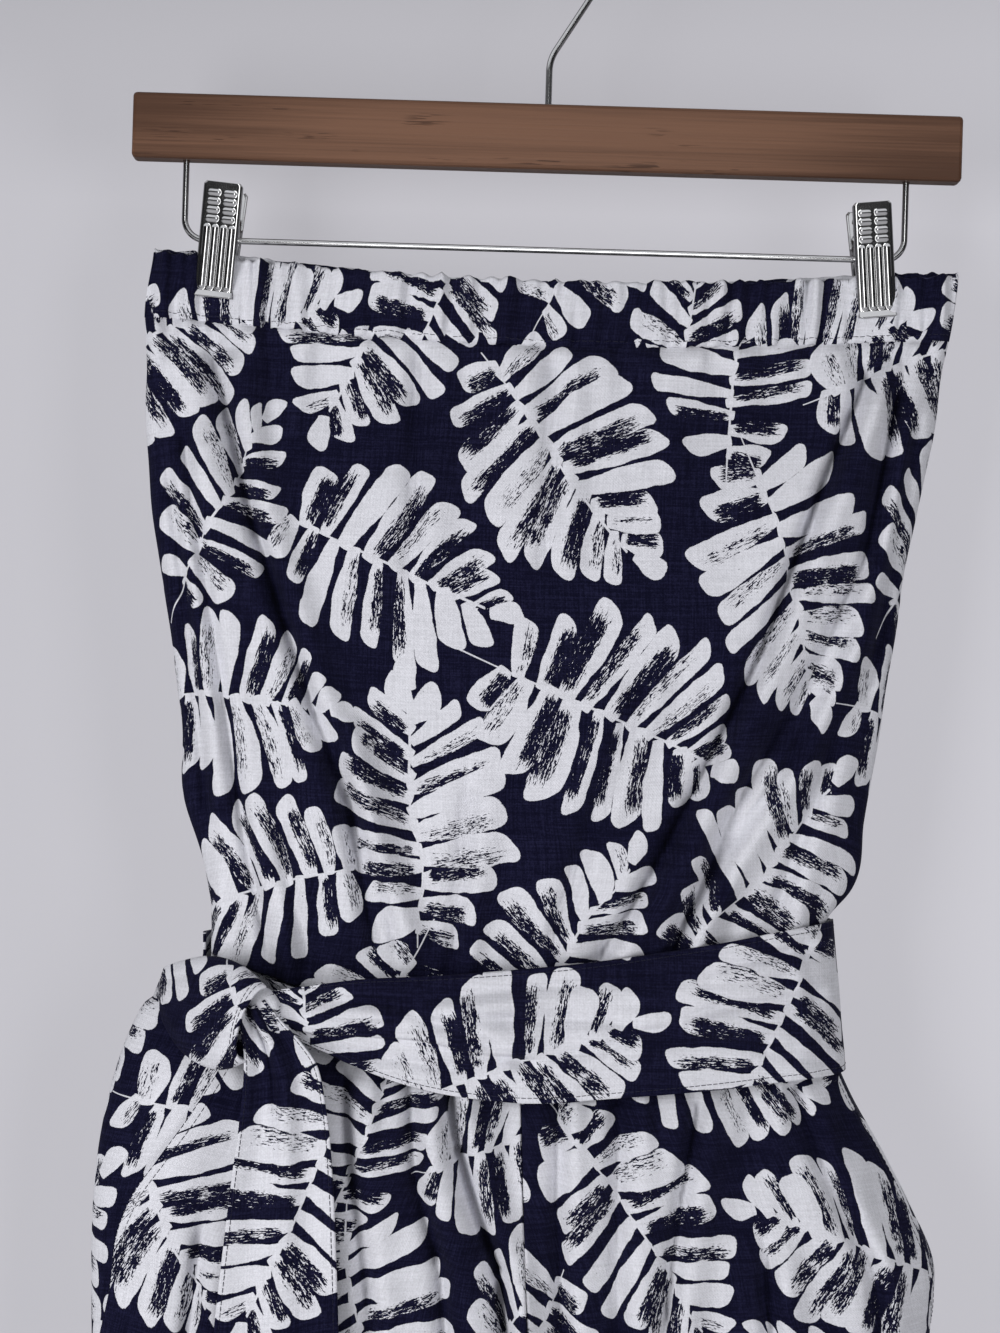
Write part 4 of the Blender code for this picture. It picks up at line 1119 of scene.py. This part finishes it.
# %% Folds of the shorts
SHORTS_FRONT_FOLDS = (
    crease(4.2, (-30, -498), (-25, -523), (-19, -541), (-12, -559), (-6, -574), (-3, -600), (1, -660))
    + crease(2.6, (-46, -496), (-42, -537), (-31, -570), (-24, -640))
    + crease(2.6, (-73, -496), (-68, -538), (-60, -588), (-57, -700))
    + crease(2.0, (17, -500), (17, -544), (20, -593), (24, -650))
    + crease(1.8, (40, -498), (42, -560), (46, -640))
    + crease(2.4, (76, -500), (68, -542), (63, -592), (62, -720))
    + crease(2.2, (114, -496), (128, -530), (150, -572), (158, -640))
    + crease(2.4, (-130, -560), (-138, -640), (-142, -780))
    + crease(2.4, (-98, -600), (-106, -700), (-110, -830))
    + crease(2.6, (104, -560), (112, -660), (120, -830))
    + crease(1.8, (34, -700), (40, -830))
    + crease(1.8, (-40, -700), (-44, -830))
)
SHORTS_BACK_FOLDS = (
    crease(2.6, (-80, -500), (-88, -600), (-92, -800))
    + crease(2.6, (86, -500), (94, -640), (98, -820))
    + [
        Fold(-100, -500, -112, -740, 14.0, 3.2),
        Fold(-50, -505, -54, -700, 12.0, -2.4),
        Fold(46, -500, 52, -720, 13.0, 3.0),
        Fold(106, -500, 120, -780, 14.0, -2.8),
        Fold(140, -620, 146, -820, 14.0, 2.6),
        Fold(-146, -600, -150, -820, 13.0, 2.6),
    ]
)


# %% The form of a leg
def leg_turn(side, z):
    """How far round the leg a panel reaches: to the middle seam above, and to the inner leg below."""
    return 0.5 * np.pi * (1.0 + ease((RISE_TURNS[side] - z) / (RISE_TURNS[side] - CROTCH)))


def leg_height(half, s, v):
    """The waist seam over a place on the leg, and the height of the place itself."""
    share = across(0.5 * s)
    waist = waist_line(share if half == LEFT else 1.0 - share)
    return waist, between(waist - SEAM_GAP, HEM, v)


def leg_form(side, half, s, v, folds=(), inwards=0.0):
    """Points of one leg's front or back: s runs from the side seam to the middle or the inner leg."""
    waist, z = leg_height(half, s, v)
    outline, column = ("left" if half == LEFT else "right"), ("front" if side == FRONT else "back")
    puff, full = ease((waist - z) / PUFF_DROP), ease((waist - z) / FULL_BELOW_WAIST)
    outer = between(read(TOP, "z", outline, z), read(SHORTS, "z", outline, z), puff)
    depth = between(read(TOP, "z", column, z), read(SHORTS, "z", column, z), full)
    turn = leg_turn(side, z)
    clear = 0.5 * SEAM_GAP + LEG_CLEARANCE * (turn / (0.5 * np.pi) - 1.0)
    inner = read(SHORTS, "z", "middle", z) + half * clear
    reach = (1.0 - np.cos(turn * s)) / (1.0 - np.cos(turn))
    x = between(outer, inner, reach)
    swell = np.maximum(np.sin(turn * s), 0.0)
    lift = fold_lift(folds, x, z) + 1.2 * unevenness(x, 0.5 * z, 110.0, 61 + side + half) * full
    lift = lift + gathers(x, waist - z - PUFF_DROP, -170, 175, 13.0, 5.0, 34.0, 91 + side, spread=0.05)
    y = np.maximum(depth * swell**ROUNDNESS + lift * ease(2.0 * swell) - inwards, THINNEST)
    return grid_of(x, side * (0.5 * SEAM_GAP + y), z)


def pocket_inset(half, v):
    """How far inside the silhouette the front panel starts, with the slant pocket open beside it."""
    inset = read(POCKET, "down", "left" if half == LEFT else "right", v)
    return inset * (1.0 - ease((v - POCKET_END) / POCKET_CLOSES_OVER + 1.0))


def share_at(half, v, inset):
    """The value of s at a distance inside the silhouette."""
    _, z = leg_height(half, 0.0 * v, v)
    ends = [leg_form(FRONT, half, np.full_like(v, s), v)[..., 0] for s in (0.0, 1.0)]
    turn = leg_turn(FRONT, z)
    return np.arccos(1.0 - inset / np.abs(ends[1] - ends[0]) * (1.0 - np.cos(turn))) / turn


# %% Cutting the legs
LEG_COLUMNS, LEG_ROWS, BACK_COLUMNS, BACK_ROWS, FACING_COLUMNS, FACING_ROWS = 104, 190, 56, 100, 26, 60
FACING_OVERLAP, FACING_INWARDS, FACING_FOOT = 16.0, 2.1, 0.97 * POCKET_END
PLACES = {
    (FRONT, LEFT): Lay(30, 248), (FRONT, RIGHT): Lay(171, 296),
    (BACK, LEFT): Lay(420, 210), (BACK, RIGHT): Lay(610, 40),
}
SEWN_ROWS, EDGE_COLUMNS = np.arange(18, 79, 0.5), (0.35, 6.6)
FRONT_HEM = (LEG_ROWS - 9.0, np.arange(1, LEG_COLUMNS - 2, 0.5))
BACK_HEM = (BACK_ROWS - 4.5, np.arange(1, BACK_COLUMNS - 2, 0.5))


def leg_rows(count):
    """Shares down the leg that crowd together under the sash, where the folds are fine."""
    return np.linspace(0.0, 1.0, count)[:, None] ** 1.15


def leg_front_grid(half):
    v = leg_rows(LEG_ROWS)
    s = between(share_at(half, v, pocket_inset(half, v)), 1.0, crowded(LEG_COLUMNS))
    return leg_form(FRONT, half, s, v, SHORTS_FRONT_FOLDS)


def pocket_grid(half):
    s, v = shares(FACING_COLUMNS, FACING_ROWS)
    v = FACING_FOOT * v
    s = s * share_at(half, v, pocket_inset(half, v) + FACING_OVERLAP)
    return leg_form(FRONT, half, s, v, SHORTS_FRONT_FOLDS, inwards=FACING_INWARDS)


for half, word, seen in ((LEFT, "left", 0.0105), (RIGHT, "right", 0.007)):
    place = Lay(130, 200 + 90 * half)
    facing = piece_of_cloth(f"facing_{word}", pocket_grid(half), OUTWARD[FRONT], place, f"pocket_{word}")
    front = leg_front_grid(half)
    back = leg_form(BACK, half, crowded(BACK_COLUMNS), leg_rows(BACK_ROWS), SHORTS_BACK_FOLDS)
    front_place, back_place = PLACES[FRONT, half], PLACES[BACK, half]
    panel = piece_of_cloth(f"front_leg_{word}", front, OUTWARD[FRONT], front_place, f"leg_front_{word}")
    behind = piece_of_cloth(f"back_leg_{word}", back, OUTWARD[BACK], back_place, f"leg_back_{word}")
    runs = [(SEWN_ROWS, column) for column in EDGE_COLUMNS] + [FRONT_HEM]
    sewn = [stitches(f"leg_stitches_front_{word}", front, OUTWARD[FRONT], runs)]
    hemmed = [stitches(f"leg_stitches_back_{word}", back, OUTWARD[BACK], [BACK_HEM])]


# %% [markdown]
# ## The sash
#
# The sash is one long strip with a hemmed edge all round. It goes round the back, comes in again from the
# left, turns over the knot and hangs down, and the stretch across the front runs under it. One strip led
# along the whole path would twist and cut through itself where the knot is tight. So it is made in the
# stretches that can be seen, each with its own table and folds, and they meet where another covers them.

# %% A stretch of the sash
def stretch_of_sash(name, grid, outward, lay, node):
    """A printed sheet of doubled cloth."""
    return piece_of_cloth(name, grid, outward, lay, node, thickness=SASH_CLOTH)


def sash_stitches(name, grid, outward, *lines):
    """The rows of stitches along the edges of a stretch."""
    return [stitches(name, grid, outward, lines, SASH_SEWING)]


# %% The stretch across the front
SashStation = namedtuple("SashStation", "x upper lower")
BELT = (
    SashStation(-106.0, -461.0, -476.0),
    SashStation(-94.0, -459.0, -480.0),
    SashStation(-70.0, -455.3, -490.0),
    SashStation(-40.0, -453.0, -499.0),
    SashStation(0.0, -449.0, -503.5),
    SashStation(40.0, -443.8, -500.5),
    SashStation(85.0, -436.2, -496.0),
    SashStation(112.0, -431.0, -493.0),
    SashStation(139.0, -427.5, -491.0),
)
BELT_FOLDS = (
    crease(1.3, (-98, -466), (-55, -465), (-1, -457), (73, -449), (127, -437))
    + crease(1.2, (-79, -484), (-29, -490), (33, -481), (82, -463), (130, -457))
    + crease(1.0, (-40, -468), (32, -469), (99, -479), (132, -486))
    + crease(1.2, (-90, -462), (-59, -463), (-17, -478), (17, -496))
    + crease(0.9, (40, -455), (120, -450))
    + crease(0.9, (-96, -472), (-50, -473), (0, -470))
    + [Fold(118, -440, 122, -480, 4.0, 1.4), Fold(20, -476, 120, -466, 9.0, 1.6)]
)
LAP_EDGE = (
    (-111, -468), (-101, -473.9), (-68, -477.9), (-37, -479.4), (-22, -482.7), (8, -485.5), (40, -487),
)
SASH_SLACK, SASH_SPREAD, LAP, LAP_STEP, LAP_ENDS, LAP_FADES_OVER = 4.5, 7.0, 3.4, 1.2, 34.0, 60.0


def belt_grid(columns, rows):
    u, (_, v) = crowded(columns), shares(columns, rows)
    end = BELT[-1].x
    x = between(BELT[0].x, end, np.sin(0.5 * np.pi * u))
    z = between(read(BELT, "x", "upper", x), read(BELT, "x", "lower", x), v)
    rounding = (1.0 - np.maximum(x / end, 0.0) ** 4) ** 0.5
    depth = (read(SHORTS, "z", "front", z) + SASH_SLACK) * rounding
    depth = depth + fold_lift(BELT_FOLDS, x, z) + 0.9 * unevenness(x, 2.0 * z, 60.0, 5)
    above_lap = z - curve_through(*zip(*LAP_EDGE), x)
    depth = depth + LAP * ease(above_lap / LAP_STEP) * ease((LAP_ENDS - x) / LAP_FADES_OVER)
    x = x - SASH_SPREAD * (1.0 - v) * ease(1.5 * u - 0.5)
    return grid_of(x, -(0.5 * SEAM_GAP + depth), z)


sash, columns = belt_grid(190, 66), np.linspace(1, 188, 320)
belt_front = stretch_of_sash("belt_front", sash, OUTWARD[FRONT], Lay(203, 242), "sash_front")
belt_stitches = sash_stitches("belt_stitches_front", sash, OUTWARD[FRONT], (2.4, columns), (62.4, columns))


# %% Round the back
SASH_WIDTH, BUNCHED_WIDTH, BACK_FULLNESS, KNOT_SIDE_SLACK = 62.0, 23.0, 27.0, 3.2


def shorts_left(z):
    """How far to the left the shorts puff out just under the waist seam."""
    puff = ease((WAIST_LEFT - z) / PUFF_DROP)
    return between(read(TOP, "z", "left", z), read(SHORTS, "z", "left", z), puff)


def belt_back_grid(columns, rows):
    u, (_, v) = crowded(columns), shares(columns, rows)
    bunch = ease(1.6 * u - 0.6)
    z = between(BELT[-1].upper, -441.0, ease(u)) - between(SASH_WIDTH, BUNCHED_WIDTH, bunch) * v
    right = BELT[-1].x - SASH_SPREAD * (1.0 - v)
    x = between(right, shorts_left(z) - KNOT_SIDE_SLACK, across(u))
    folds = 1.5 * np.sin(2 * np.pi * (3.0 * v + 0.4 * u)) * (0.4 + bunch) * swag(u, 0.5)
    y = 0.5 * SEAM_GAP + BACK_FULLNESS * swag(u, ROUNDNESS) + folds
    return grid_of(x, np.maximum(y, 0.3), z)


sash, columns = belt_back_grid(120, 34), np.linspace(2, 116, 220)
belt_back = stretch_of_sash("belt_back", sash, OUTWARD[BACK], Lay(300, 280), "sash_back")
belt_back_stitches = sash_stitches("belt_stitches_back", sash, OUTWARD[BACK], (1.3, columns), (31.7, columns))


# %% Over the knot
WrapStation = namedtuple("WrapStation", "share x_up y_up z_up x_low y_low z_low swell")
WRAP = (
    WrapStation(0.00, -153.3, -0.6, -457.1, -157.3, -0.6, -469.3, 0.0),
    WrapStation(0.20, -144.4, -10.0, -453.0, -151.0, -14.0, -478.3, 3.0),
    WrapStation(0.42, -132.5, -22.0, -449.4, -141.4, -26.0, -488.1, 5.5),
    WrapStation(0.68, -119.4, -34.0, -450.4, -127.0, -37.0, -493.3, 7.0),
    WrapStation(0.88, -110.6, -42.0, -454.6, -118.0, -44.0, -491.2, 6.5),
    WrapStation(1.00, -105.6, -47.0, -458.4, -113.2, -48.0, -488.4, 4.0),
)
SWELL_WAY = np.array([-0.35, -1.0, 0.0])


def wrap_grid(columns, rows):
    u, v = shares(columns, rows)
    up = np.stack([read(WRAP, "share", column, u) for column in ("x_up", "y_up", "z_up")], axis=-1)
    low = np.stack([read(WRAP, "share", column, u) for column in ("x_low", "y_low", "z_low")], axis=-1)
    swell = (read(WRAP, "share", "swell", u) * swag(v, 0.8))[..., None]
    furrow = 2.2 * hump(v - 0.44 + 0.42 * u, 0.06) * (1 - ease(u * 1.5)) * swag(v, 0.5)
    ridge = 1.4 * hump(v - 0.66 - 0.1 * u, 0.07) * swag(u, 0.5)
    grid = between(up, low, across(v)[..., None]) + swell * SWELL_WAY
    grid[..., 0] += -5.0 * swag(v) * u**3
    grid[..., 1] += furrow - ridge
    return grid


sash, rows, outward = wrap_grid(76, 64), np.linspace(1, 62, 120), (-0.4, -1, 0)
wrap = stretch_of_sash("knot_wrap", sash, outward, Lay(280, 186), "sash_wrap")
wrap_stitches = sash_stitches("wrap_stitches", sash, outward, (rows, 72.2), (rows, 69.8))


# %% The squeezed core of the knot
KNOT_PLACE, KNOT_HALF = (-105.5, -39.0, -470.0), (8.5, 6.0, 10.5)


def knot_grid(columns, rows):
    """A lump of pleated cloth, as a sheet rolled all the way round."""
    turn, lift = shares(columns, rows)
    turn, lift = 2 * np.pi * turn, np.pi * between(0.04, 0.96, lift)
    pleats = 1.0 + 0.07 * np.sin(5 * turn + 3 * np.cos(lift)) - 0.10 * hump(np.cos(lift) - 0.2, 0.2)
    wide = np.sin(lift) ** 0.8 * pleats
    x = KNOT_PLACE[0] + KNOT_HALF[0] * wide * np.sin(turn) - 3.0 * np.cos(lift)
    y = KNOT_PLACE[1] + KNOT_HALF[1] * wide * np.cos(turn)
    z = KNOT_PLACE[2] + KNOT_HALF[2] * np.cos(lift) - 2.0 * np.sin(turn) * np.sin(lift)
    return grid_of(x, y, z)


knot = stretch_of_sash("knot_core", knot_grid(64, 40), OUTWARD[FRONT], Lay(300, 120, 60), "sash_knot")


# %% The two hanging ends
TailStation = namedtuple("TailStation", "down x_left z_left x_right z_right stand")
TAIL = (
    TailStation(0.00, -116.5, -470.0, -106.5, -463.5, 43.0),
    TailStation(0.04, -115.5, -478.0, -98.5, -472.5, 44.5),
    TailStation(0.08, -114.0, -486.5, -90.5, -480.5, 46.0),
    TailStation(0.12, -113.8, -497.0, -84.0, -489.0, 47.0),
    TailStation(0.18, -114.8, -513.0, -79.2, -508.0, 48.2),
    TailStation(0.27, -117.0, -536.0, -75.8, -534.0, 50.3),
    TailStation(0.39, -119.6, -566.5, -73.2, -566.0, 53.0),
    TailStation(0.52, -122.2, -600.0, -71.0, -600.0, 55.0),
    TailStation(0.76, -125.5, -660.0, -68.5, -660.0, 56.5),
    TailStation(1.00, -127.5, -722.0, -67.5, -722.0, 57.0),
)


def tail_grid(inset, behind, start, end, columns, rows):
    """A hanging end between two places down the table, narrower by its insets and so far behind it."""
    u, v = shares(columns, rows)
    v = between(start, end, v**1.2)
    readings = [read(TAIL, "down", column, v) for column in TailStation._fields[1:]]
    x_left, z_left, x_right, z_right, stand = readings
    x = between(x_left + inset, x_right - inset, u)
    z = between(z_left, z_right, u)
    pleat = 1.7 * np.cos(4.0 * np.pi * u) * (1.0 - 0.7 * ease(1.4 * v))
    furrow = 3.0 * hump(u - 0.38 - 0.1 * v, 0.05) * (1.0 - ease(v * 2.2))
    ridge = 1.6 * hump(u - 0.55, 0.10) * (1.0 - 0.6 * ease(v * 2.0))
    y = behind - stand - pleat + furrow - ridge + 0.8 * unevenness(x, z, 90.0, 9)
    return grid_of(x, y, z)


FOOT_ROW, EDGE_LEFT, EDGE_RIGHT = 147.8, 1.6, 41.4
sash, short_end = tail_grid(0.0, 0.0, 0.0, 1.0, 44, 150), tail_grid(3.5, 3.0, 0.08, 0.86, 30, 90)
tail = stretch_of_sash("hanging_end", sash, OUTWARD[FRONT], Lay(232, 288), "sash_tail")
tail_under = stretch_of_sash("end_behind", short_end, OUTWARD[FRONT], Lay(300, 500), "sash_tail_under")
rows, foot = np.linspace(2, FOOT_ROW, 420), (FOOT_ROW, np.linspace(EDGE_LEFT, EDGE_RIGHT, 420))
edges = (rows, EDGE_RIGHT), (rows, EDGE_LEFT), foot
tail_stitches = sash_stitches("tail_stitches", sash, OUTWARD[FRONT], *edges)


# %% [markdown]
# ## Pressed clips
#
# Each jaw of a clip is one strip of steel with its long sides bent back. Four long ribs stiffen it below and
# two rows of short ones give the thumb a grip. Bars set on a plate would show a line round each rib. A press
# makes them by pushing the strip from behind, so here a grid of points is pushed out under each rib, and
# Solidify gives the strip its thickness.

# %% A jaw
Clip = namedtuple("Clip", "side x lean")
CLIPS = (Clip("left", CLIP_LEFT, 5.0), Clip("right", CLIP_RIGHT, -6.0))
JawStation = namedtuple("JawStation", "height stand_off")
JAW_TOP, JAW_MOUTH, JAW_FOOT = 23.0, -5.0, -25.0
JAW = (
    JawStation(JAW_FOOT, 5.8),
    JawStation(-22.5, 4.3),
    JawStation(-8.0, 6.9),
    JawStation(8.0, 9.8),
    JawStation(JAW_TOP, 12.5),
)
ROD_HEIGHT, CASING_FACE = -144.2, 3.35
JAW_HALF_WIDTH, JAW_SHEET, JAW_CORNER, BENT_BACK, SIDE_DEPTH = 8.3, 0.9, 1.3, 9.0, 3.2
EAR_REACH, EAR_STAND_OFF, TOP_ROUNDING, TOP_NARROWING = 7.0, 1.9, 1.6, 0.12
FACE_COLUMNS, CORNER_COLUMNS, JAW_ROWS, TOP_ROWS = 84, 6, 130, (0.0, 0.25)
Rib = namedtuple("Rib", "x0 h0 x1 h1 half_width raised_by")
RIBS = [Rib(x, -20.6, x, 3.6, 1.45, 0.8) for x in (-5.3, -1.8, 1.8, 5.3)]
RIBS += [Rib(x - 1.6, h, x + 1.6, h, 1.1, 0.5) for x in (-3.4, 3.4) for h in (7.6, 11.2, 14.8, 18.4)]


def rib_height(x, height):
    """How far the ribs push the steel out. A rib is a rounded bar between two points."""
    raised = np.zeros(np.broadcast(x, height).shape)
    for rib in RIBS:
        run = np.array([rib.x1 - rib.x0, rib.h1 - rib.h0])
        t = np.clip(((x - rib.x0) * run[0] + (height - rib.h0) * run[1]) / (run @ run), 0.0, 1.0)
        gap = np.hypot(x - rib.x0 - t * run[0], height - rib.h0 - t * run[1])
        raised = np.maximum(raised, rib.raised_by * np.maximum(1.0 - (gap / rib.half_width) ** 2, 0.0) ** 0.7)
    return raised


def jaw_grid():
    """The outer face of a jaw that faces the front, from its thumb end to its lip."""
    top = [JAW_TOP - below for below in TOP_ROWS]
    height = np.concatenate([top, np.linspace(JAW_TOP - 0.6, JAW_FOOT, JAW_ROWS)])[:, None]
    turn = np.radians(np.linspace(0, 90, CORNER_COLUMNS))
    face = JAW_HALF_WIDTH - JAW_CORNER
    face = np.linspace(-face, face, FACE_COLUMNS + 2)[1:-1]
    corner = np.concatenate([[0.0], JAW_CORNER * (1 - np.cos(turn))]) - JAW_HALF_WIDTH
    corner_drop = np.concatenate([[BENT_BACK], JAW_CORNER * (1 - np.sin(turn))])
    x = np.concatenate([corner, face, -corner[::-1]])
    drop = np.concatenate([corner_drop, 0.0 * face, corner_drop[::-1]])
    stand = np.interp(height, *zip(*JAW))
    ear = between(stand - SIDE_DEPTH, EAR_STAND_OFF, ease(1.0 - np.abs(height) / EAR_REACH))
    holds = height < JAW_MOUTH
    ear = np.where(holds, np.maximum(ear, CASING_FACE), ear)
    stand = np.where(holds, np.maximum(stand, CASING_FACE + JAW_SHEET), stand)
    pressed = rib_height(x, height) * (drop == 0.0)
    narrow = 1.0 - TOP_NARROWING * ease((height - JAW_TOP) / TOP_ROUNDING + 1.0) ** 2
    return grid_of(x * narrow, -np.maximum(stand - drop, ear) - pressed, height)


# %% [markdown]
# ## Wood and steel
#
# The bar is stained close-grained wood: broad soft bands along its length, a fine grain over them, and a few
# short dark pores. Its colour is also darkened towards both ends and along its bottom edge, as painted shade.
# Noise stretched along the bar gives the bands, the grain and the pores, and goes through the wood, so that
# it turns the corners as real grain does. A flat drawing of wood would not.
#
# The wire and the clips are polished steel, which shows mostly what it reflects, so it needs only a trace of
# smudge and fine scratches.

# %% Stained wood
DARK_WOOD, LIGHT_WOOD = (0.070, 0.034, 0.021, 1.0), (0.172, 0.088, 0.055, 1.0)
PORE = (0.035, 0.016, 0.010, 1.0)


def place_in(tree):
    return tree.nodes.new("ShaderNodeTexCoord").outputs["Object"]


def stretched(tree, vector, along, upright, deep):
    """A vector with each direction scaled on its own."""
    node = tree.nodes.new("ShaderNodeVectorMath")
    node.operation = "MULTIPLY"
    feed(node.inputs[0], vector)
    node.inputs[1].default_value = (along, deep, upright)
    return node.outputs[0]


wood, tree, shader = finish("stained_wood", roughness=0.42, Specular_IOR_Level=0.14)
place = place_in(tree)
bands = noise(tree, stretched(tree, place, 2.2, 75.0, 60.0), detail=2.0)
grain = noise(tree, stretched(tree, place, 12.0, 900.0, 700.0), detail=3.0, roughness=0.6)
pores = noise(tree, stretched(tree, place, 70.0, 1100.0, 900.0), detail=1.0)
pore_spots = noise(tree, stretched(tree, place, 14.0, 120.0, 90.0), detail=1.0)
pore = pores.rise(0.56, 0.64) * pore_spots.rise(0.52, 0.62)
aside, _, height = parts_of(tree, place)
# Painted shade: the wood is darker towards both ends of the bar and along its bottom edge.
ends = aside.math("ABSOLUTE").rise(0.07, 0.178) * 0.42 + (height * -1.0).rise(0.1075, 0.1104) * 0.5
stain_and_painted_shade = (bands - 0.5) * 1.8 + (grain - 0.5) * 0.9 + 0.62 - ends
body = mixed(tree, stain_and_painted_shade.rise(0.0, 1.0), DARK_WOOD, LIGHT_WOOD)
feed(shader["Base Color"], mixed(tree, pore * 0.75, body, PORE))
feed(shader["Roughness"], (grain - 0.5) * 0.2 + 0.40)
feed(shader["Normal"], relief(tree, grain - pore * 0.8, 0.0002, 0.35))


# %% Polished steel
def polished(name, colour, roughness):
    """Polished steel with faint smudges."""
    made, tree, shader = finish(name, metallic=1.0, roughness=roughness)
    place = place_in(tree)
    smudge = noise(tree, place, scale=90.0, detail=2.0)
    scratch = noise(tree, stretched(tree, place, 900.0, 90.0, 900.0), detail=1.0)
    dark = tuple(0.88 * part for part in colour)
    feed(shader["Base Color"], mixed(tree, smudge.rise(0.3, 0.7), (*dark, 1.0), (*colour, 1.0)))
    feed(shader["Roughness"], (smudge - 0.5) * 0.05 + roughness + (scratch - 0.5) * 0.04)
    return made


clip_steel = polished("pressed_steel", (0.50, 0.50, 0.505), 0.09)
wire_steel = polished("drawn_steel", (0.45, 0.45, 0.455), 0.14)
print(wood.name, clip_steel.name, wire_steel.name)


# %% [markdown]
# ## Steel pieces
#
# Two equal jaws face each other across the level wire, and a spring coiled round it presses them together.
# The same grid makes all four jaws, turned over for the back ones. The springs, the level wire and the hook
# are round wire. A Curve with a round bevel would make it too. Here rings of points follow the path, because
# then the hook's tip is rounded by shrinking its last rings.

# %% Sheet and wire
COIL_TURNS, COIL_RADIUS, COIL_HALF_LENGTH, COIL_WIRE = 5, 3.0, 3.8, 0.62


def steel_object(name, points, faces, node, surface, sheet=None):
    """Steel in the body of the hanger, pressed from a sheet if it is given a thickness."""
    made = shown(name, points, faces, surface)
    if sheet:
        thickened(made, sheet, -1.0)
    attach(made, "root")
    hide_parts(node)
    return made


def swept(middle, radius, sides, flat_side=(0.0, 1.0, 0.0)):
    """A round wire along a smooth path. flat_side is a direction that the path never takes."""
    ahead = unit(np.gradient(middle, axis=0))
    aside = unit(np.cross(ahead, flat_side))
    radius = np.broadcast_to(radius, len(middle))[:, None, None]
    return rings_round(middle, aside, np.cross(aside, ahead), radius, sides), tube_faces(len(middle), sides)


# %% Making the clips
def coil(clip):
    """The spring round the rod between the ears, in closed coils."""
    angle = np.linspace(0.0, 2.0 * np.pi * COIL_TURNS, 120)
    along = clip.x + (2.0 * angle / angle[-1] - 1.0) * COIL_HALF_LENGTH
    middle = [along, -COIL_RADIUS * np.cos(angle), ROD_HEIGHT + COIL_RADIUS * np.sin(angle)]
    return swept(np.stack(middle, axis=1), COIL_WIRE, 8, (1.0, 0.0, 0.0))


plate = jaw_grid()
plate_faces = grid_faces(*plate.shape[:2])
for clip in CLIPS:
    lean = np.array(Matrix.Rotation(math.radians(clip.lean), 3, "Y"))
    for word, side, faces in (("front", 1.0, plate_faces), ("back", -1.0, plate_faces[:, ::-1])):
        points = (plate * (1.0, side, 1.0)) @ lean.T + (clip.x, 0.0, ROD_HEIGHT)
        name, node = f"jaw_{clip.side}_{word}", f"clip_{clip.side}_{word}"
        steel_object(name, points, faces.tolist(), node, clip_steel, sheet=JAW_SHEET)
    steel_object(f"spring_{clip.side}", *coil(clip), f"clip_{clip.side}_spring", wire_steel)
print(2 * len(CLIPS), "jaws,", len(CLIPS), "springs")


# %% The wires, and the finish of the bar
STEM_START, FRAME_START = -98.1, -94.7
FRAME_HALF_WIDTH, FRAME_BEND, FRAME_WIRE, WIRE_SIDES = 154.5, 9.0, 1.35, 24
HOOK_WIRE, HOOK_BEND, HOOK_END, STEM_TOP, STEM_ELBOW = 1.4, 22.0, 205.0, -62.4, 5.0
TIP = ((0.35, 0.94), (0.75, 0.66), (1.0, 0.02))


def bend(centre, radius, start, end, steps):
    """Points on an upright arc that faces the front, with its angles in degrees from +X."""
    angle = np.radians(np.linspace(start, end, steps))
    x, z = centre[0] + radius * np.cos(angle), centre[1] + radius * np.sin(angle)
    return np.stack([x, 0.0 * angle, z], axis=1)


def frame_path():
    """The wire that leaves the bar, turns inwards and carries both clips."""
    corner = bend((FRAME_BEND - FRAME_HALF_WIDTH, ROD_HEIGHT + FRAME_BEND), FRAME_BEND, 180, 270, 17)
    left = np.concatenate([[(-FRAME_HALF_WIDTH, 0.0, FRAME_START)], corner])
    return np.concatenate([left, (left * (-1, 1, 1))[::-1]])


def hook_path():
    """The stem from the bar, its easy bend, the curl that hangs on a rail, and its rounded tip."""
    centre = HOOK_WIRE - HOOK_BEND
    lean = np.arcsin(HOOK_BEND / (centre - STEM_TOP))
    away = np.array([np.sin(lean), 0.0, np.cos(lean)])
    corner = np.array([0.0, 0.0, STEM_TOP])
    start, past = corner - (0, 0, STEM_ELBOW), corner + STEM_ELBOW * away
    t = np.linspace(0, 1, 9)[:, None]
    elbow = (1 - t) ** 2 * start + 2 * t * (1 - t) * corner + t * t * past
    curl = bend((0.0, centre), HOOK_BEND, -math.degrees(lean), HOOK_END, 60)
    reach = np.array([past_end for past_end, _ in TIP])[:, None]
    tip = curl[-1] + reach * HOOK_WIRE * unit(curl[-1] - curl[-2])
    return np.concatenate([[(0.0, 0.0, STEM_START)], elbow, curl, tip])


steel_object("frame_wire", *swept(frame_path(), FRAME_WIRE, WIRE_SIDES), "hanger_wire", wire_steel)
hook = hook_path()
thickness = np.full(len(hook), HOOK_WIRE)
thickness[-len(TIP):] *= [share for _, share in TIP]
steel_object("hook", *swept(hook, thickness, WIRE_SIDES), "hanger_hook", wire_steel)
bar = bpy.data.objects["hanger_bar"]
bar.data.materials.clear()
bar.data.materials.append(wood)
print("hanger dressed")
